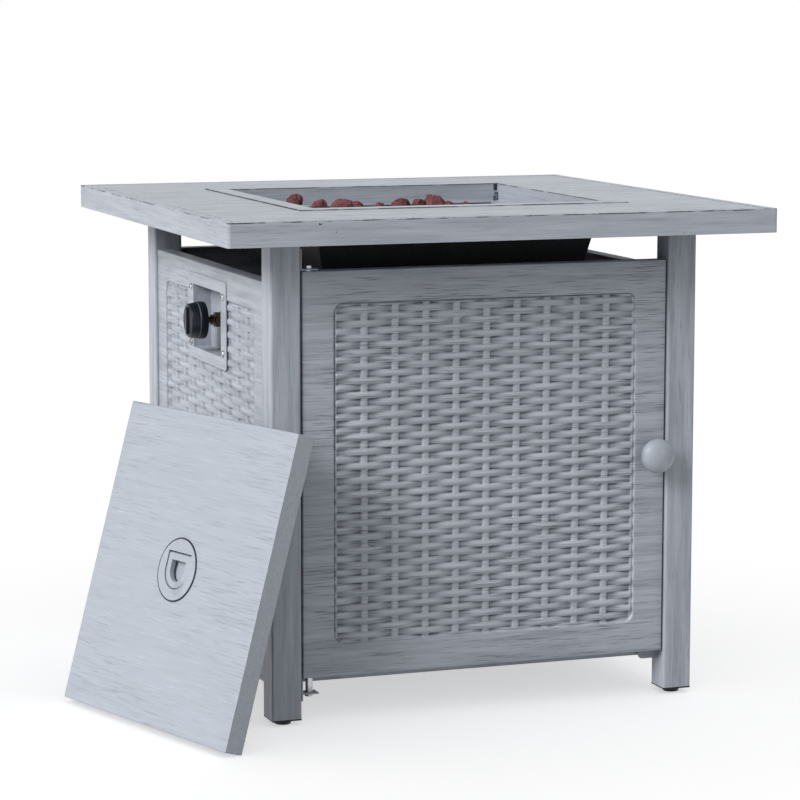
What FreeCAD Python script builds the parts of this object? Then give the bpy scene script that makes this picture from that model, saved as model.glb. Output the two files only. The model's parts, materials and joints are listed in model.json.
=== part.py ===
"""Fire pit table, 711 mm square and 624 mm high, with a woven-pattern steel cabinet.

A parametric document in millimetres. The origin is the centre of the table on the floor, +Z is up,
the door faces -Y and the gas knob faces -X. The lid leans on the front left leg.
"""
import FreeCAD
import Part
import Sketcher
import math
import os
import random
from FreeCAD import Placement, Rotation, Vector

doc = FreeCAD.newDocument("fire_pit_table")

# Driving dimensions: alias, value in millimetres (or degrees, or a count), meaning
DIMENSIONS = [
    ("top_side", 711, "side of the square tabletop"),
    ("top_height", 624, "upper face of the tabletop above the floor"),
    ("top_sheet", 1.5, "thickness of the tabletop sheet"),
    ("rim_depth", 30, "height of the folded rim"),
    ("rim_return", 14, "width of the lip turned in under the rim"),
    ("rim_corner", 4, "radius of the tabletop's corners"),
    ("border_inset", 12, "distance of the pressed border line from the edge"),
    ("border_line", 2, "width of the border line"),
    ("border_depth", 0.6, "depth of the border line"),
    ("body_side", 561, "outside of the four legs"),
    ("leg_side", 38, "side of the square leg tube"),
    ("leg_wall", 1.5, "wall of the leg tube"),
    ("leg_corner", 3, "corner radius of the leg tube"),
    ("glide_height", 8, "height of a foot glide below its leg"),
    ("glide_radius", 12, "radius of a foot glide"),
    ("glide_plug", 16, "depth of the plug in the leg"),
    ("plug_clearance", 0.2, "gap round the plug"),
    ("panel_sheet", 1.2, "thickness of the cabinet sheet"),
    ("panel_setback", 3.5, "cabinet sheet behind the face of the legs"),
    ("flange_depth", 20, "depth of the folded panel edges"),
    ("panel_bottom", 46, "lower edge of the fixed panels"),
    ("panel_drop", 82, "upper edge of the fixed panels below the tabletop's face"),
    ("panel_gap", 0.2, "gap between a fixed panel and a leg"),
    ("door_bottom", 57, "lower edge of the door"),
    ("door_drop", 67, "upper edge of the door below the tabletop's face"),
    ("door_gap_hinge", 3, "gap beside the hinged edge"),
    ("door_gap_free", 2, "gap beside the free edge"),
    ("stake_pitch", 40, "distance between two stakes of the weave"),
    ("weaver_pitch", 17.5, "distance between two weavers that cross the same stake"),
    ("weave_margin", 38, "least plain border round the woven field"),
    ("weave_depth", 2.5, "depth of the pressed pattern"),
    ("crest_drop", 0.3, "crest of the pattern behind the face of the panel"),
    ("opening_length", 388, "opening in the tabletop along X"),
    ("opening_width", 364, "opening in the tabletop along Y"),
    ("frame_flange", 25, "flange of the opening frame on the tabletop"),
    ("frame_sheet", 1.5, "thickness of the opening frame"),
    ("frame_clearance", 0.5, "gap between the frame's well and the tabletop"),
    ("well_depth", 24, "depth from the flange to the lid ledge"),
    ("ledge_width", 16, "width of the lid ledge"),
    ("pan_sheet", 1.2, "thickness of the burner pan"),
    ("pan_inset", 5, "pan wall inside the frame's well"),
    ("pan_depth", 65, "depth of the burner pan"),
    ("pan_taper", 15, "how far each pan wall leans in at the bottom"),
    ("pan_hole_radius", 11, "hole in the pan for the burner inlet"),
    ("burner_ring", 95, "radius of the burner ring"),
    ("burner_bar", 14, "width of the burner's pressed ring"),
    ("burner_bar_height", 10, "height of the burner's pressed ring"),
    ("burner_rise", 24, "middle of the burner ring above the pan floor"),
    ("burner_foot", 3, "radius of a foot of the burner ring"),
    ("hub_radius", 17, "radius of the burner's hub"),
    ("inlet_radius", 9, "radius of the burner's inlet pipe"),
    ("inlet_drop", 14, "inlet pipe below the pan"),
    ("nut_radius", 15, "corner radius of the burner nut"),
    ("nut_height", 6, "height of the burner nut"),
    ("mixer_block", 22, "side of the mixer's elbow block"),
    ("mixer_radius", 9, "radius of the mixer tube"),
    ("mixer_length", 60, "length of the mixer tube"),
    ("tube_radius", 4, "radius of the feed tube"),
    ("tube_bend", 22, "bend radius of the feed tube"),
    ("plate_length", 171, "control plate along Y"),
    ("plate_height", 112, "control plate along Z"),
    ("plate_drop", 153, "centre of the control plate below the tabletop's face"),
    ("plate_sheet", 1.5, "thickness of the control plate"),
    ("plate_corner", 4, "corner radius of the control plate"),
    ("dish_length", 125, "recess in the control plate along Y"),
    ("dish_height", 82, "recess in the control plate along Z"),
    ("dish_depth", 24, "depth of the recess"),
    ("plate_screw_y", 72, "control plate screws from the centre along Y"),
    ("plate_screw_z", 36, "control plate screws from the centre along Z"),
    ("screw_radius", 2.4, "shank radius of a small screw"),
    ("screw_head", 4.6, "head radius of a small screw"),
    ("screw_head_height", 2.6, "head height of a small screw"),
    ("neck_radius", 9.5, "radius of the valve's threaded neck"),
    ("neck_length", 14, "length of the neck in front of the recess"),
    ("valve_nut_radius", 14, "corner radius of the nut on the neck"),
    ("valve_nut_height", 4, "height of the nut on the neck"),
    ("valve_length", 34, "valve body along X"),
    ("valve_side", 26, "valve body across"),
    ("valve_stem_radius", 4, "radius of the valve's turning stem"),
    ("valve_travel", 3, "how far the knob pushes in"),
    ("spring_wire", 0.5, "radius of the stem spring's wire"),
    ("spring_turns", 4, "turns of the stem spring"),
    ("spring_pocket", 8, "depth of the pocket for the spring in the valve's neck"),
    ("knob_radius", 24, "radius of the gas knob at its skirt"),
    ("knob_front_radius", 21.5, "radius of the gas knob at its front"),
    ("knob_length", 25, "length of the gas knob"),
    ("knob_bore_clearance", 0.05, "gap between stem and knob"),
    ("knob_standoff", 3.5, "gap between knob and control plate"),
    ("hinge_side", 9, "hinge axis from the door's edge"),
    ("hinge_back", 6, "hinge axis behind the door's face"),
    ("hinge_pin_radius", 3, "radius of a pivot bolt"),
    ("hinge_clearance", 0.3, "gap round a pivot bolt in the door"),
    ("hinge_sheet", 1.5, "thickness of a hinge bracket"),
    ("hinge_washer", 1.5, "washer gap between top bracket and door"),
    ("hinge_drop", 18, "bottom hinge tab below the door"),
    ("hinge_tab_length", 22, "hinge tab from the leg"),
    ("hinge_tab_depth", 18, "hinge tab front to back"),
    ("hinge_plate", 26, "height of the hinge plate on the leg"),
    ("collar_radius", 4.5, "radius of the collar under the door"),
    ("ball_radius", 22, "radius of the door knob"),
    ("ball_neck", 9, "radius of the door knob's neck"),
    ("ball_length", 36, "length of the door knob"),
    ("ball_side", 18.5, "door knob from the free edge"),
    ("ball_rise", 5, "door knob above the middle of the door"),
    ("magnet_rise", 53, "magnet catch above the middle of the door"),
    ("magnet_length", 46, "length of the magnet catch"),
    ("magnet_depth", 13, "magnet catch front to back"),
    ("magnet_width", 16, "magnet catch across"),
    ("magnet_gap", 0.3, "gap between magnet and strike plate"),
    ("strike_sheet", 1.5, "thickness of the strike plate"),
    ("tray_sheet", 1.5, "thickness of the tank tray"),
    ("tray_front", 5, "gap between the door and the tray's front lip"),
    ("tray_lip", 12, "height of the tray's front lip"),
    ("tray_lip_end", 6, "how far the lip stops short of the tray's sides, clear of the door stop's screw"),
    ("tray_clearance", 1, "gap round the tray"),
    ("tank_ring_radius", 104, "inner radius of the ring that holds the tank's foot"),
    ("tank_ring_wall", 2, "wall of the tank ring"),
    ("tank_ring_height", 10, "height of the tank ring"),
    ("tray_vent_length", 60, "length of a vent slot in the tray"),
    ("tray_vent_width", 8, "width of a vent slot in the tray"),
    ("bracket_side", 42, "legs of a corner bracket"),
    ("bracket_width", 30, "width of a corner bracket"),
    ("bracket_sheet", 2.5, "thickness of a corner bracket"),
    ("bolt_radius", 2.8, "shank radius of a bolt"),
    ("bolt_head", 5.5, "corner radius of a bolt head"),
    ("bolt_head_height", 3.5, "height of a bolt head"),
    ("bolt_bite", 4, "shank past the sheet that it holds"),
    ("hole_clearance", 0.3, "gap between a shank and its hole"),
    ("lid_length", 384, "lid up the slope"),
    ("lid_width", 360, "lid across"),
    ("lid_depth", 24, "depth of the lid's folded edge"),
    ("lid_sheet", 1.2, "thickness of the lid's sheet"),
    ("lid_return", 8, "lip turned in under the lid's edge"),
    ("lid_corner", 2.5, "corner radius of the lid"),
    ("lid_lean", 16.3, "lean of the lid from upright, in degrees"),
    ("lid_heading", -72.1, "direction of the lid's lower edge, in degrees"),
    ("lid_offset", 89.4, "middle of the lid from the leg along its edge"),
    ("lid_gap", 0.3, "gap between lid and leg"),
    ("cup_radius", 35, "radius of the handle cup"),
    ("cup_flange", 38, "radius of the cup's flange"),
    ("cup_flange_height", 1.2, "thickness of the cup's flange"),
    ("cup_depth", 13, "depth of the handle cup"),
    ("cup_clearance", 0.3, "gap between cup and lid"),
    ("grip_radius", 23, "outer radius of the flip-up ring"),
    ("grip_hole", 15, "inner radius of the flip-up ring"),
    ("grip_thickness", 6, "thickness of the flip-up ring"),
    ("grip_pivot", 17, "pivot of the ring above the cup's centre"),
    ("grip_gap", 1.5, "gap round the ring in its cup"),
    ("grip_swing", 4, "room under the ring for its far edge when it stands up"),
    ("grip_pin_radius", 2, "radius of the ring's pin"),
    ("grip_pin_clearance", 0.2, "gap round the ring's pin"),
    ("stem_collar", 2, "thickness of the collar on the valve stem"),
    ("dish_clearance", 1, "gap round the recess in the panel"),
    ("bolt_end", 60, "bolts from the ends of a panel's edge"),
    ("tray_bolt_reach", 150, "tray bolts from the middle of each side"),
    ("hinge_tail", 8, "hinge plate below the bottom tab"),
    ("hinge_grip", 8, "pivot bolt inside the door"),
    ("stop_drop", 14, "door stop below the door"),
    ("stop_rise", 30, "height of the door stop"),
    ("stop_reach", 25, "door stop from the leg"),
    ("stop_corner", 6, "radius of the door stop's lower corner"),
    ("stop_foot", 12, "foot of the door stop on the leg"),
    ("igniter_x", 45, "igniter electrode along X"),
    ("igniter_y", 45, "igniter electrode towards the door"),
    ("igniter_radius", 3.5, "radius of the igniter's ceramic"),
    ("igniter_ceramic", 22, "length of the igniter's ceramic"),
    ("igniter_lift", 4, "igniter's ceramic above the pan floor"),
    ("igniter_tip", 8, "length of the igniter's bare tip"),
    ("igniter_bracket", 14, "side of the igniter's bracket"),
    ("igniter_tab", 16, "igniter's tab above the pan floor"),
    ("mixer_slot", 20, "length of the mixer's air slot"),
    ("mixer_slot_height", 5, "height of the mixer's air slot"),
    ("mixer_end", 12, "closed end of the mixer tube"),
    ("rock_radius", 22, "radius of the sphere that the largest lava rock fits in"),
    ("rock_gap", 0.2, "gap between two lava rocks' spheres"),
    ("high_rock_x", 130, "the rock that lies highest, towards the knob's side"),
    ("high_rock_y", 90, "the rock that lies highest, along Y"),
    ("high_rock_radius", 15, "radius of the rock that lies highest"),
    ("rock_drop", 12, "top of the bed of lava rock below the tabletop's face"),
]

sheet = doc.addObject("Spreadsheet::Sheet", "sizes")
for row, (alias, value, meaning) in enumerate(DIMENSIONS, start=1):
    sheet.set(f"A{row}", alias)
    sheet.set(f"B{row}", str(value))
    sheet.set(f"C{row}", meaning)
    sheet.setAlias(f"B{row}", alias)
doc.recompute()


class Size:
    """A length that carries its number and the sheet formula that it comes from."""

    def __init__(self, number, formula):
        self.number = float(number)
        self.formula = formula

    def __float__(self):
        return self.number

    def __neg__(self):
        return Size(-self.number, f"-({self.formula})")

    def __add__(self, other):
        other = as_size(other)
        return Size(self.number + other.number, f"({self.formula} + {other.formula})")

    def __sub__(self, other):
        other = as_size(other)
        return Size(self.number - other.number, f"({self.formula} - {other.formula})")

    def __mul__(self, other):
        other = as_size(other)
        return Size(self.number * other.number, f"({self.formula} * {other.formula})")

    def __truediv__(self, other):
        other = as_size(other)
        return Size(self.number / other.number, f"({self.formula} / {other.formula})")

    def __radd__(self, other):
        return as_size(other) + self

    def __rsub__(self, other):
        return as_size(other) - self

    def __rmul__(self, other):
        return as_size(other) * self


def as_size(value):
    if isinstance(value, Size):
        return value
    return Size(value, f"({float(value)})")


class Table:
    """The sheet's cells, by alias, as sizes."""

    def __getattr__(self, alias):
        return Size(sheet.get(alias), f"sizes.{alias}")


S = Table()
panel_top = S.top_height - S.panel_drop
door_top = S.top_height - S.door_drop
plate_centre = S.top_height - S.plate_drop
rock_level = S.top_height - S.rock_drop
door_middle = (door_top + S.door_bottom) / 2
ball_height = door_middle + S.ball_rise
magnet_height = door_middle + S.magnet_rise

PIECES = {}
UP = Rotation()
ALONG_X = Rotation(Vector(0, 0, 1), Vector(1, 0, 0))
ALONG_Y = Rotation(Vector(0, 0, 1), Vector(0, 1, 0))


# Building blocks


def bind(obj, **rules):
    """Tie properties of an object to sheet formulas."""
    for name, value in rules.items():
        obj.setExpression(name, as_size(value).formula)


def place(obj, at, turn=UP):
    """Put an object at a point given by three sizes."""
    obj.Placement = Placement(Vector(*[float(as_size(c)) for c in at]), turn)
    for axis, value in zip("xyz", at):
        obj.setExpression(f"Placement.Base.{axis}", as_size(value).formula)
    return obj


def box(name, size, at):
    """Box with its lowest corner at a point."""
    obj = doc.addObject("Part::Box", name)
    bind(obj, Length=size[0], Width=size[1], Height=size[2])
    return place(obj, at)


def cylinder(name, radius, height, at, turn=UP):
    """Cylinder from a point along the turned Z axis."""
    obj = doc.addObject("Part::Cylinder", name)
    bind(obj, Radius=radius, Height=height)
    return place(obj, at, turn)


def prism(name, radius, height, at, turn=UP, sides=6):
    """Regular prism, as for nuts and bolt heads."""
    obj = doc.addObject("Part::Prism", name)
    obj.Polygon = sides
    bind(obj, Circumradius=radius, Height=height)
    return place(obj, at, turn)


def thread(name, radius, height, at, turn=UP):
    """Shank of a screw or bolt, which needs few faces."""
    return prism(name, radius, height, at, turn, sides=8)


def cone(name, radius, end_radius, height, at, turn=UP):
    obj = doc.addObject("Part::Cone", name)
    bind(obj, Radius1=radius, Radius2=end_radius, Height=height)
    return place(obj, at, turn)


def fuse(name, parts):
    obj = doc.addObject("Part::MultiFuse", name)
    obj.Shapes = parts
    obj.Refine = True
    return obj


def cut(name, base, tools):
    obj = doc.addObject("Part::Cut", name)
    obj.Base = base
    obj.Tool = tools[0] if len(tools) == 1 else fuse(name + "_tools", tools)
    return obj


def group(name, parts):
    """Separate solids that share one node."""
    obj = doc.addObject("Part::Compound", name)
    obj.Links = parts
    return obj


def shaped(name, shape, placement=None):
    """Piece whose shape this file works out from the sheet's sizes."""
    obj = doc.addObject("Part::Feature", name)
    obj.Shape = shape
    if placement is not None:
        obj.Placement = placement
    return obj


def closed_solid(faces):
    """Solid inside a set of faces that share their edges."""
    sewn = Part.makeCompound(faces)
    sewn.sewShape()
    solid = Part.makeSolid(sewn.Shells[0])
    if solid.Volume < 0:
        solid.reverse()
    return solid


def piece(label, obj):
    """Name a finished sub-part, which is also the name of its file."""
    obj.Label = label
    PIECES[label] = obj
    return obj


def new_body(name):
    return doc.addObject("PartDesign::Body", name)


def plane_sketch(body, name, role="XY_Plane", lift=0, shift=(0, 0)):
    """Sketch on one of the body's own origin planes, lifted and shifted by sizes."""
    sketch = body.newObject("Sketcher::SketchObject", name)
    plane = [f for f in body.Origin.OriginFeatures if f.Role == role][0]
    sketch.AttachmentSupport = [(plane, "")]
    sketch.MapMode = "FlatFace"
    for axis, value in zip("xyz", (shift[0], shift[1], lift)):
        sketch.setExpression(f"AttachmentOffset.Base.{axis}", as_size(value).formula)
    return sketch


def add_rectangle(sketch, length, width):
    """Rectangle centred on the sketch's origin."""
    half_l = float(as_size(length)) / 2
    half_w = float(as_size(width)) / 2
    corners = [Vector(-half_l, -half_w), Vector(half_l, -half_w), Vector(half_l, half_w),
               Vector(-half_l, half_w)]
    first = sketch.GeometryCount
    for start, end in zip(corners, corners[1:] + corners[:1]):
        sketch.addGeometry(Part.LineSegment(start, end), False)
    for side in range(4):
        sketch.addConstraint(Sketcher.Constraint("Coincident", first + side, 2, first + (side + 1) % 4, 1))
    for side, kind in enumerate(("Horizontal", "Vertical", "Horizontal", "Vertical")):
        sketch.addConstraint(Sketcher.Constraint(kind, first + side))
    sketch.addConstraint(Sketcher.Constraint("Symmetric", first, 1, first + 2, 1, -1, 1))
    across = sketch.addConstraint(Sketcher.Constraint("DistanceX", first, 1, first, 2, 2 * half_l))
    upward = sketch.addConstraint(Sketcher.Constraint("DistanceY", first + 1, 1, first + 1, 2, 2 * half_w))
    sketch.setExpression(f"Constraints[{across}]", as_size(length).formula)
    sketch.setExpression(f"Constraints[{upward}]", as_size(width).formula)


def add_circle(sketch, radius):
    """Circle round the sketch's origin."""
    number = float(as_size(radius))
    index = sketch.addGeometry(Part.Circle(Vector(), Vector(0, 0, 1), number), False)
    sketch.addConstraint(Sketcher.Constraint("Coincident", index, 3, -1, 1))
    rule = sketch.addConstraint(Sketcher.Constraint("Radius", index, number))
    sketch.setExpression(f"Constraints[{rule}]", as_size(radius).formula)


def add_outline(sketch, points):
    """Closed polygon whose corners are given by two sizes each; a plain 0 lies on the axis."""
    numbers = [Vector(float(as_size(x)), float(as_size(y))) for x, y in points]
    for start, end in zip(numbers, numbers[1:] + numbers[:1]):
        sketch.addGeometry(Part.LineSegment(start, end), False)
    count = len(points)
    for side in range(count):
        sketch.addConstraint(Sketcher.Constraint("Coincident", side, 2, (side + 1) % count, 1))
    for corner, ((x, y), number) in enumerate(zip(points, numbers)):
        for kind, value, distance, axis in (("DistanceX", x, number.x, -2), ("DistanceY", y, number.y, -1)):
            if isinstance(value, int) and value == 0:
                sketch.addConstraint(Sketcher.Constraint("PointOnObject", corner, 1, axis))
                continue
            rule = sketch.addConstraint(Sketcher.Constraint(kind, -1, 1, corner, 1, distance))
            sketch.setExpression(f"Constraints[{rule}]", as_size(value).formula)


def pad(body, sketch, length, downward=False):
    feature = body.newObject("PartDesign::Pad", sketch.Name + "_pad")
    feature.Profile = sketch
    feature.Reversed = downward
    bind(feature, Length=length)
    doc.recompute()
    return feature


def pocket(body, sketch, length, upward=False):
    feature = body.newObject("PartDesign::Pocket", sketch.Name + "_pocket")
    feature.Profile = sketch
    feature.Reversed = upward
    bind(feature, Length=length)
    doc.recompute()
    return feature


def loft(body, kind, first, second):
    feature = body.newObject(f"PartDesign::{kind}", first.Name + "_loft")
    feature.Profile = first
    feature.Sections = [second]
    feature.Ruled = True
    doc.recompute()
    return feature


def upright_edges(shape, reach):
    """Names of the vertical edges that stand at least this far out in both X and Y."""
    names = []
    for index, edge in enumerate(shape.Edges, start=1):
        start, end = edge.Vertexes[0].Point, edge.Vertexes[-1].Point
        upright = abs(start.x - end.x) < 1e-6 and abs(start.y - end.y) < 1e-6
        if upright and min(abs(start.x), abs(start.y)) > reach:
            names.append(f"Edge{index}")
    return names


def round_uprights(body, feature, radius, reach):
    fillet = body.newObject("PartDesign::Fillet", feature.Name + "_fillet")
    fillet.Base = (feature, upright_edges(feature.Shape, reach))
    bind(fillet, Radius=radius)
    doc.recompute()
    return fillet


def folded_tray(name, length, width, depth, wall, lip, corner):
    """Sheet folded down on four sides with a lip turned in; its face is at z = 0."""
    body = new_body(name)
    outside = plane_sketch(body, name + "_outside")
    add_rectangle(outside, length, width)
    block = pad(body, outside, depth, downward=True)
    round_uprights(body, block, corner, 1)
    inside = plane_sketch(body, name + "_inside", lift=-wall)
    add_rectangle(inside, length - 2 * wall, width - 2 * wall)
    pocket(body, inside, depth - 2 * wall)
    mouth = plane_sketch(body, name + "_mouth", lift=-(depth - wall))
    add_rectangle(mouth, length - 2 * lip, width - 2 * lip)
    pocket(body, mouth, wall)
    return body


# Tabletop and the frame round its opening

frame_top = S.top_height + S.frame_sheet
ledge_top = frame_top - S.well_depth
well_length = S.opening_length + 2 * S.frame_sheet
well_width = S.opening_width + 2 * S.frame_sheet


def make_tabletop():
    body = folded_tray("tabletop_body", S.top_side, S.top_side, S.rim_depth, S.top_sheet, S.rim_return,
                       S.rim_corner)
    opening = plane_sketch(body, "tabletop_opening")
    add_rectangle(opening, well_length + 2 * S.frame_clearance, well_width + 2 * S.frame_clearance)
    pocket(body, opening, S.top_sheet)
    border = plane_sketch(body, "tabletop_border")
    line_side = S.top_side - 2 * S.border_inset
    add_rectangle(border, line_side, line_side)
    add_rectangle(border, line_side - 2 * S.border_line, line_side - 2 * S.border_line)
    pocket(body, border, S.border_depth)
    place(body, (0, 0, S.top_height))
    piece("tabletop", body)


def make_opening_frame():
    body = new_body("opening_frame_body")
    flange = plane_sketch(body, "frame_flange_outline")
    add_rectangle(flange, S.opening_length + 2 * S.frame_flange, S.opening_width + 2 * S.frame_flange)
    pad(body, flange, S.frame_sheet)
    well = plane_sketch(body, "frame_well_outline")
    add_rectangle(well, well_length, well_width)
    pad(body, well, S.well_depth, downward=True)
    inside = plane_sketch(body, "frame_inside", lift=S.frame_sheet)
    add_rectangle(inside, S.opening_length, S.opening_width)
    pocket(body, inside, S.well_depth)
    mouth = plane_sketch(body, "frame_mouth")
    add_rectangle(mouth, S.opening_length - 2 * S.ledge_width, S.opening_width - 2 * S.ledge_width)
    pocket(body, mouth, S.well_depth + S.frame_sheet)
    place(body, (0, 0, S.top_height))
    holes = [cylinder(f"frame_hole_{i}", S.screw_radius + S.hole_clearance, 3 * S.frame_sheet,
                      (x, y, ledge_top - 2 * S.frame_sheet)) for i, (x, y) in enumerate(pan_screw_points())]
    piece("opening_frame", cut("opening_frame_drilled", body, holes))


def pan_screw_points():
    """Four points on the ledge, two at each end, in the middle of the pan's lip."""
    outer_x = S.opening_length / 2 - S.pan_inset
    outer_y = S.opening_width / 2 - S.pan_inset
    x = outer_x - (S.ledge_width - S.pan_inset) / 2
    y = outer_y * 0.6
    return [(x, y), (x, -y), (-x, y), (-x, -y)]


# Burner pan, burner and gas train

pan_top = ledge_top - S.frame_sheet
pan_floor = pan_top - S.pan_depth + S.pan_sheet
pan_under = pan_top - S.pan_depth
pan_length = S.opening_length - 2 * S.pan_inset
pan_width = S.opening_width - 2 * S.pan_inset
mixer_axis = pan_under - S.nut_height - S.mixer_block / 2


def make_burner_pan():
    body = new_body("burner_pan_body")

    def level(name, lift, shrink):
        sketch = plane_sketch(body, name, lift=lift)
        add_rectangle(sketch, pan_length - 2 * shrink, pan_width - 2 * shrink)
        return sketch

    outer = level("pan_outer_top", 0, 0)
    loft(body, "AdditiveLoft", outer, level("pan_outer_bottom", -S.pan_depth, S.pan_taper))
    inner = level("pan_inner_top", -S.pan_sheet, S.pan_sheet)
    loft(body, "SubtractiveLoft", inner,
         level("pan_inner_bottom", -(S.pan_depth - S.pan_sheet), S.pan_taper + S.pan_sheet))
    lip = S.ledge_width - S.pan_inset
    mouth = level("pan_mouth", 0, lip)
    pocket(body, mouth, 2 * S.pan_sheet)
    place(body, (0, 0, pan_top))
    holes = [cylinder("pan_inlet_hole", S.pan_hole_radius, 3 * S.pan_sheet, (0, 0, pan_under - S.pan_sheet))]
    for i, (x, y) in enumerate(pan_screw_points()):
        holes.append(cylinder(f"pan_hole_{i}", S.screw_radius + S.hole_clearance, 3 * S.pan_sheet,
                              (x, y, pan_top - 2 * S.pan_sheet)))
    piece("burner_pan", cut("burner_pan_drilled", body, holes))


def make_pan_screws():
    screws = []
    length = S.frame_sheet + S.pan_sheet + S.bolt_bite
    for i, (x, y) in enumerate(pan_screw_points()):
        head = cylinder(f"pan_screw_head_{i}", S.screw_head, S.screw_head_height / 2, (x, y, ledge_top))
        shank = thread(f"pan_screw_shank_{i}", S.screw_radius, length, (x, y, ledge_top - length))
        screws.append(fuse(f"pan_screw_{i}", [head, shank]))
    piece("pan_screws", group("pan_screw_group", screws))


def make_burner():
    """Pressed ring with a cross bar, on a hub whose inlet pipe passes through the pan."""
    middle = pan_floor + S.burner_rise
    low = middle - S.burner_bar_height / 2
    half = S.burner_bar / 2
    ring = cut("burner_ring_pressed",
               cylinder("burner_ring_outside", S.burner_ring + half, S.burner_bar_height, (0, 0, low)),
               [cylinder("burner_ring_inside", S.burner_ring - half, 3 * S.burner_bar_height,
                         (0, 0, low - S.burner_bar_height))])
    parts = [ring,
             box("burner_cross_bar", (2 * S.burner_ring, S.burner_bar, S.burner_bar_height),
                 (-S.burner_ring, -half, low)),
             cylinder("burner_hub", S.hub_radius, S.burner_bar_height + 2 * S.pan_sheet, (0, 0, low - S.pan_sheet)),
             cylinder("burner_inlet", S.inlet_radius, middle - pan_under + S.inlet_drop,
                      (0, 0, pan_under - S.inlet_drop))]
    for i, side in enumerate((-1, 1)):
        parts.append(box(f"burner_foot_{i}", (S.burner_bar, S.burner_foot, low - pan_floor),
                         (-half, side * S.burner_ring - S.burner_foot / 2, pan_floor)))
    piece("burner", fuse("burner_welded", parts))
    nut = cut("burner_nut_cut", prism("burner_nut_block", S.nut_radius, S.nut_height, (0, 0, pan_under - S.nut_height)),
              [cylinder("burner_nut_bore", S.inlet_radius + S.hole_clearance, 3 * S.nut_height,
                        (0, 0, pan_under - 2 * S.nut_height))])
    piece("burner_nut", nut)


def make_air_mixer():
    half = S.mixer_block / 2
    block = box("mixer_elbow", (S.mixer_block, S.mixer_block, S.mixer_block), (-half, -half, mixer_axis - half))
    tube = cylinder("mixer_tube", S.mixer_radius, S.mixer_length, (-half - S.mixer_length, 0, mixer_axis), ALONG_X)
    socket = cylinder("mixer_socket", S.inlet_radius + S.hole_clearance, half + S.tube_radius,
                      (0, 0, mixer_axis - S.tube_radius))
    bore = cylinder("mixer_bore", S.mixer_radius - 2, S.mixer_length - S.mixer_end,
                    (-half - S.mixer_length + S.mixer_end, 0, mixer_axis), ALONG_X)
    slot = box("mixer_slot", (S.mixer_slot, 4 * S.mixer_radius, S.mixer_slot_height),
               (-half - S.mixer_length + S.mixer_slot, -2 * S.mixer_radius, mixer_axis - S.mixer_slot_height / 2))
    piece("air_mixer", cut("air_mixer_cut", fuse("air_mixer_blank", [block, tube]), [socket, bore, slot]))


plate_face = -(S.body_side / 2 - S.panel_setback)
plate_front = plate_face - S.plate_sheet
dish_floor = plate_front + S.dish_depth
valve_back = dish_floor + S.valve_length


def make_feed_tube():
    """Tube from the valve's outlet up to the mixer: a rise, one bend and a run along X."""
    start_x = valve_back - S.valve_side / 2
    start_z = plate_centre + S.valve_side / 2
    mixer_end = -S.mixer_block / 2 - S.mixer_length
    rise = cylinder("feed_rise", S.tube_radius, mixer_axis - S.tube_bend - start_z, (start_x, 0, start_z))
    bend = doc.addObject("Part::Torus", "feed_bend")
    bind(bend, Radius1=S.tube_bend, Radius2=S.tube_radius)
    bend.Angle3 = 90
    turn = Rotation(Vector(1, 0, 0), 90).multiply(Rotation(Vector(0, 0, 1), 90))
    place(bend, (start_x + S.tube_bend, 0, mixer_axis - S.tube_bend), turn)
    run_start = start_x + S.tube_bend
    run = cylinder("feed_run", S.tube_radius, mixer_end - run_start, (run_start, 0, mixer_axis), ALONG_X)
    piece("feed_tube", fuse("feed_tube_bent", [rise, bend, run]))


# Control plate, valve and knob on the left panel


def make_control_plate():
    body = new_body("control_plate_body")
    face = plane_sketch(body, "plate_outline")
    add_rectangle(face, S.plate_height, S.plate_length)
    block = pad(body, face, S.plate_sheet)
    round_uprights(body, block, S.plate_corner, 1)
    dish = plane_sketch(body, "plate_dish")
    add_rectangle(dish, S.dish_height + 2 * S.plate_sheet, S.dish_length + 2 * S.plate_sheet)
    pad(body, dish, S.dish_depth, downward=True)
    hollow = plane_sketch(body, "plate_hollow", lift=S.plate_sheet)
    add_rectangle(hollow, S.dish_height, S.dish_length)
    pocket(body, hollow, S.dish_depth)
    place(body, (plate_face, 0, plate_centre), Rotation(Vector(0, 1, 0), -90))
    holes = [cylinder("plate_neck_hole", S.neck_radius + S.hole_clearance, 6 * S.plate_sheet,
                      (dish_floor - 3 * S.plate_sheet, 0, plate_centre), ALONG_X)]
    for i, (y, z) in enumerate(plate_screw_points()):
        holes.append(cylinder(f"plate_hole_{i}", S.screw_radius + S.hole_clearance, 6 * S.plate_sheet,
                              (plate_face - 3 * S.plate_sheet, y, z), ALONG_X))
    piece("control_plate", cut("control_plate_drilled", body, holes))


def plate_screw_points():
    return [(side * S.plate_screw_y, plate_centre + level * S.plate_screw_z)
            for side in (-1, 1) for level in (-1, 1)]


def make_plate_screws():
    screws = []
    reach = S.plate_sheet + S.panel_sheet + S.bolt_bite
    for i, (y, z) in enumerate(plate_screw_points()):
        head = cone(f"plate_screw_head_{i}", S.screw_head * 0.6, S.screw_head, S.screw_head_height,
                    (plate_front - S.screw_head_height, y, z), ALONG_X)
        shank = thread(f"plate_screw_shank_{i}", S.screw_radius, reach, (plate_front, y, z), ALONG_X)
        screws.append(fuse(f"plate_screw_{i}", [head, shank]))
    piece("control_plate_screws", group("plate_screw_group", screws))


stem_tip = plate_front - S.knob_standoff - S.knob_length / 2


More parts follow.
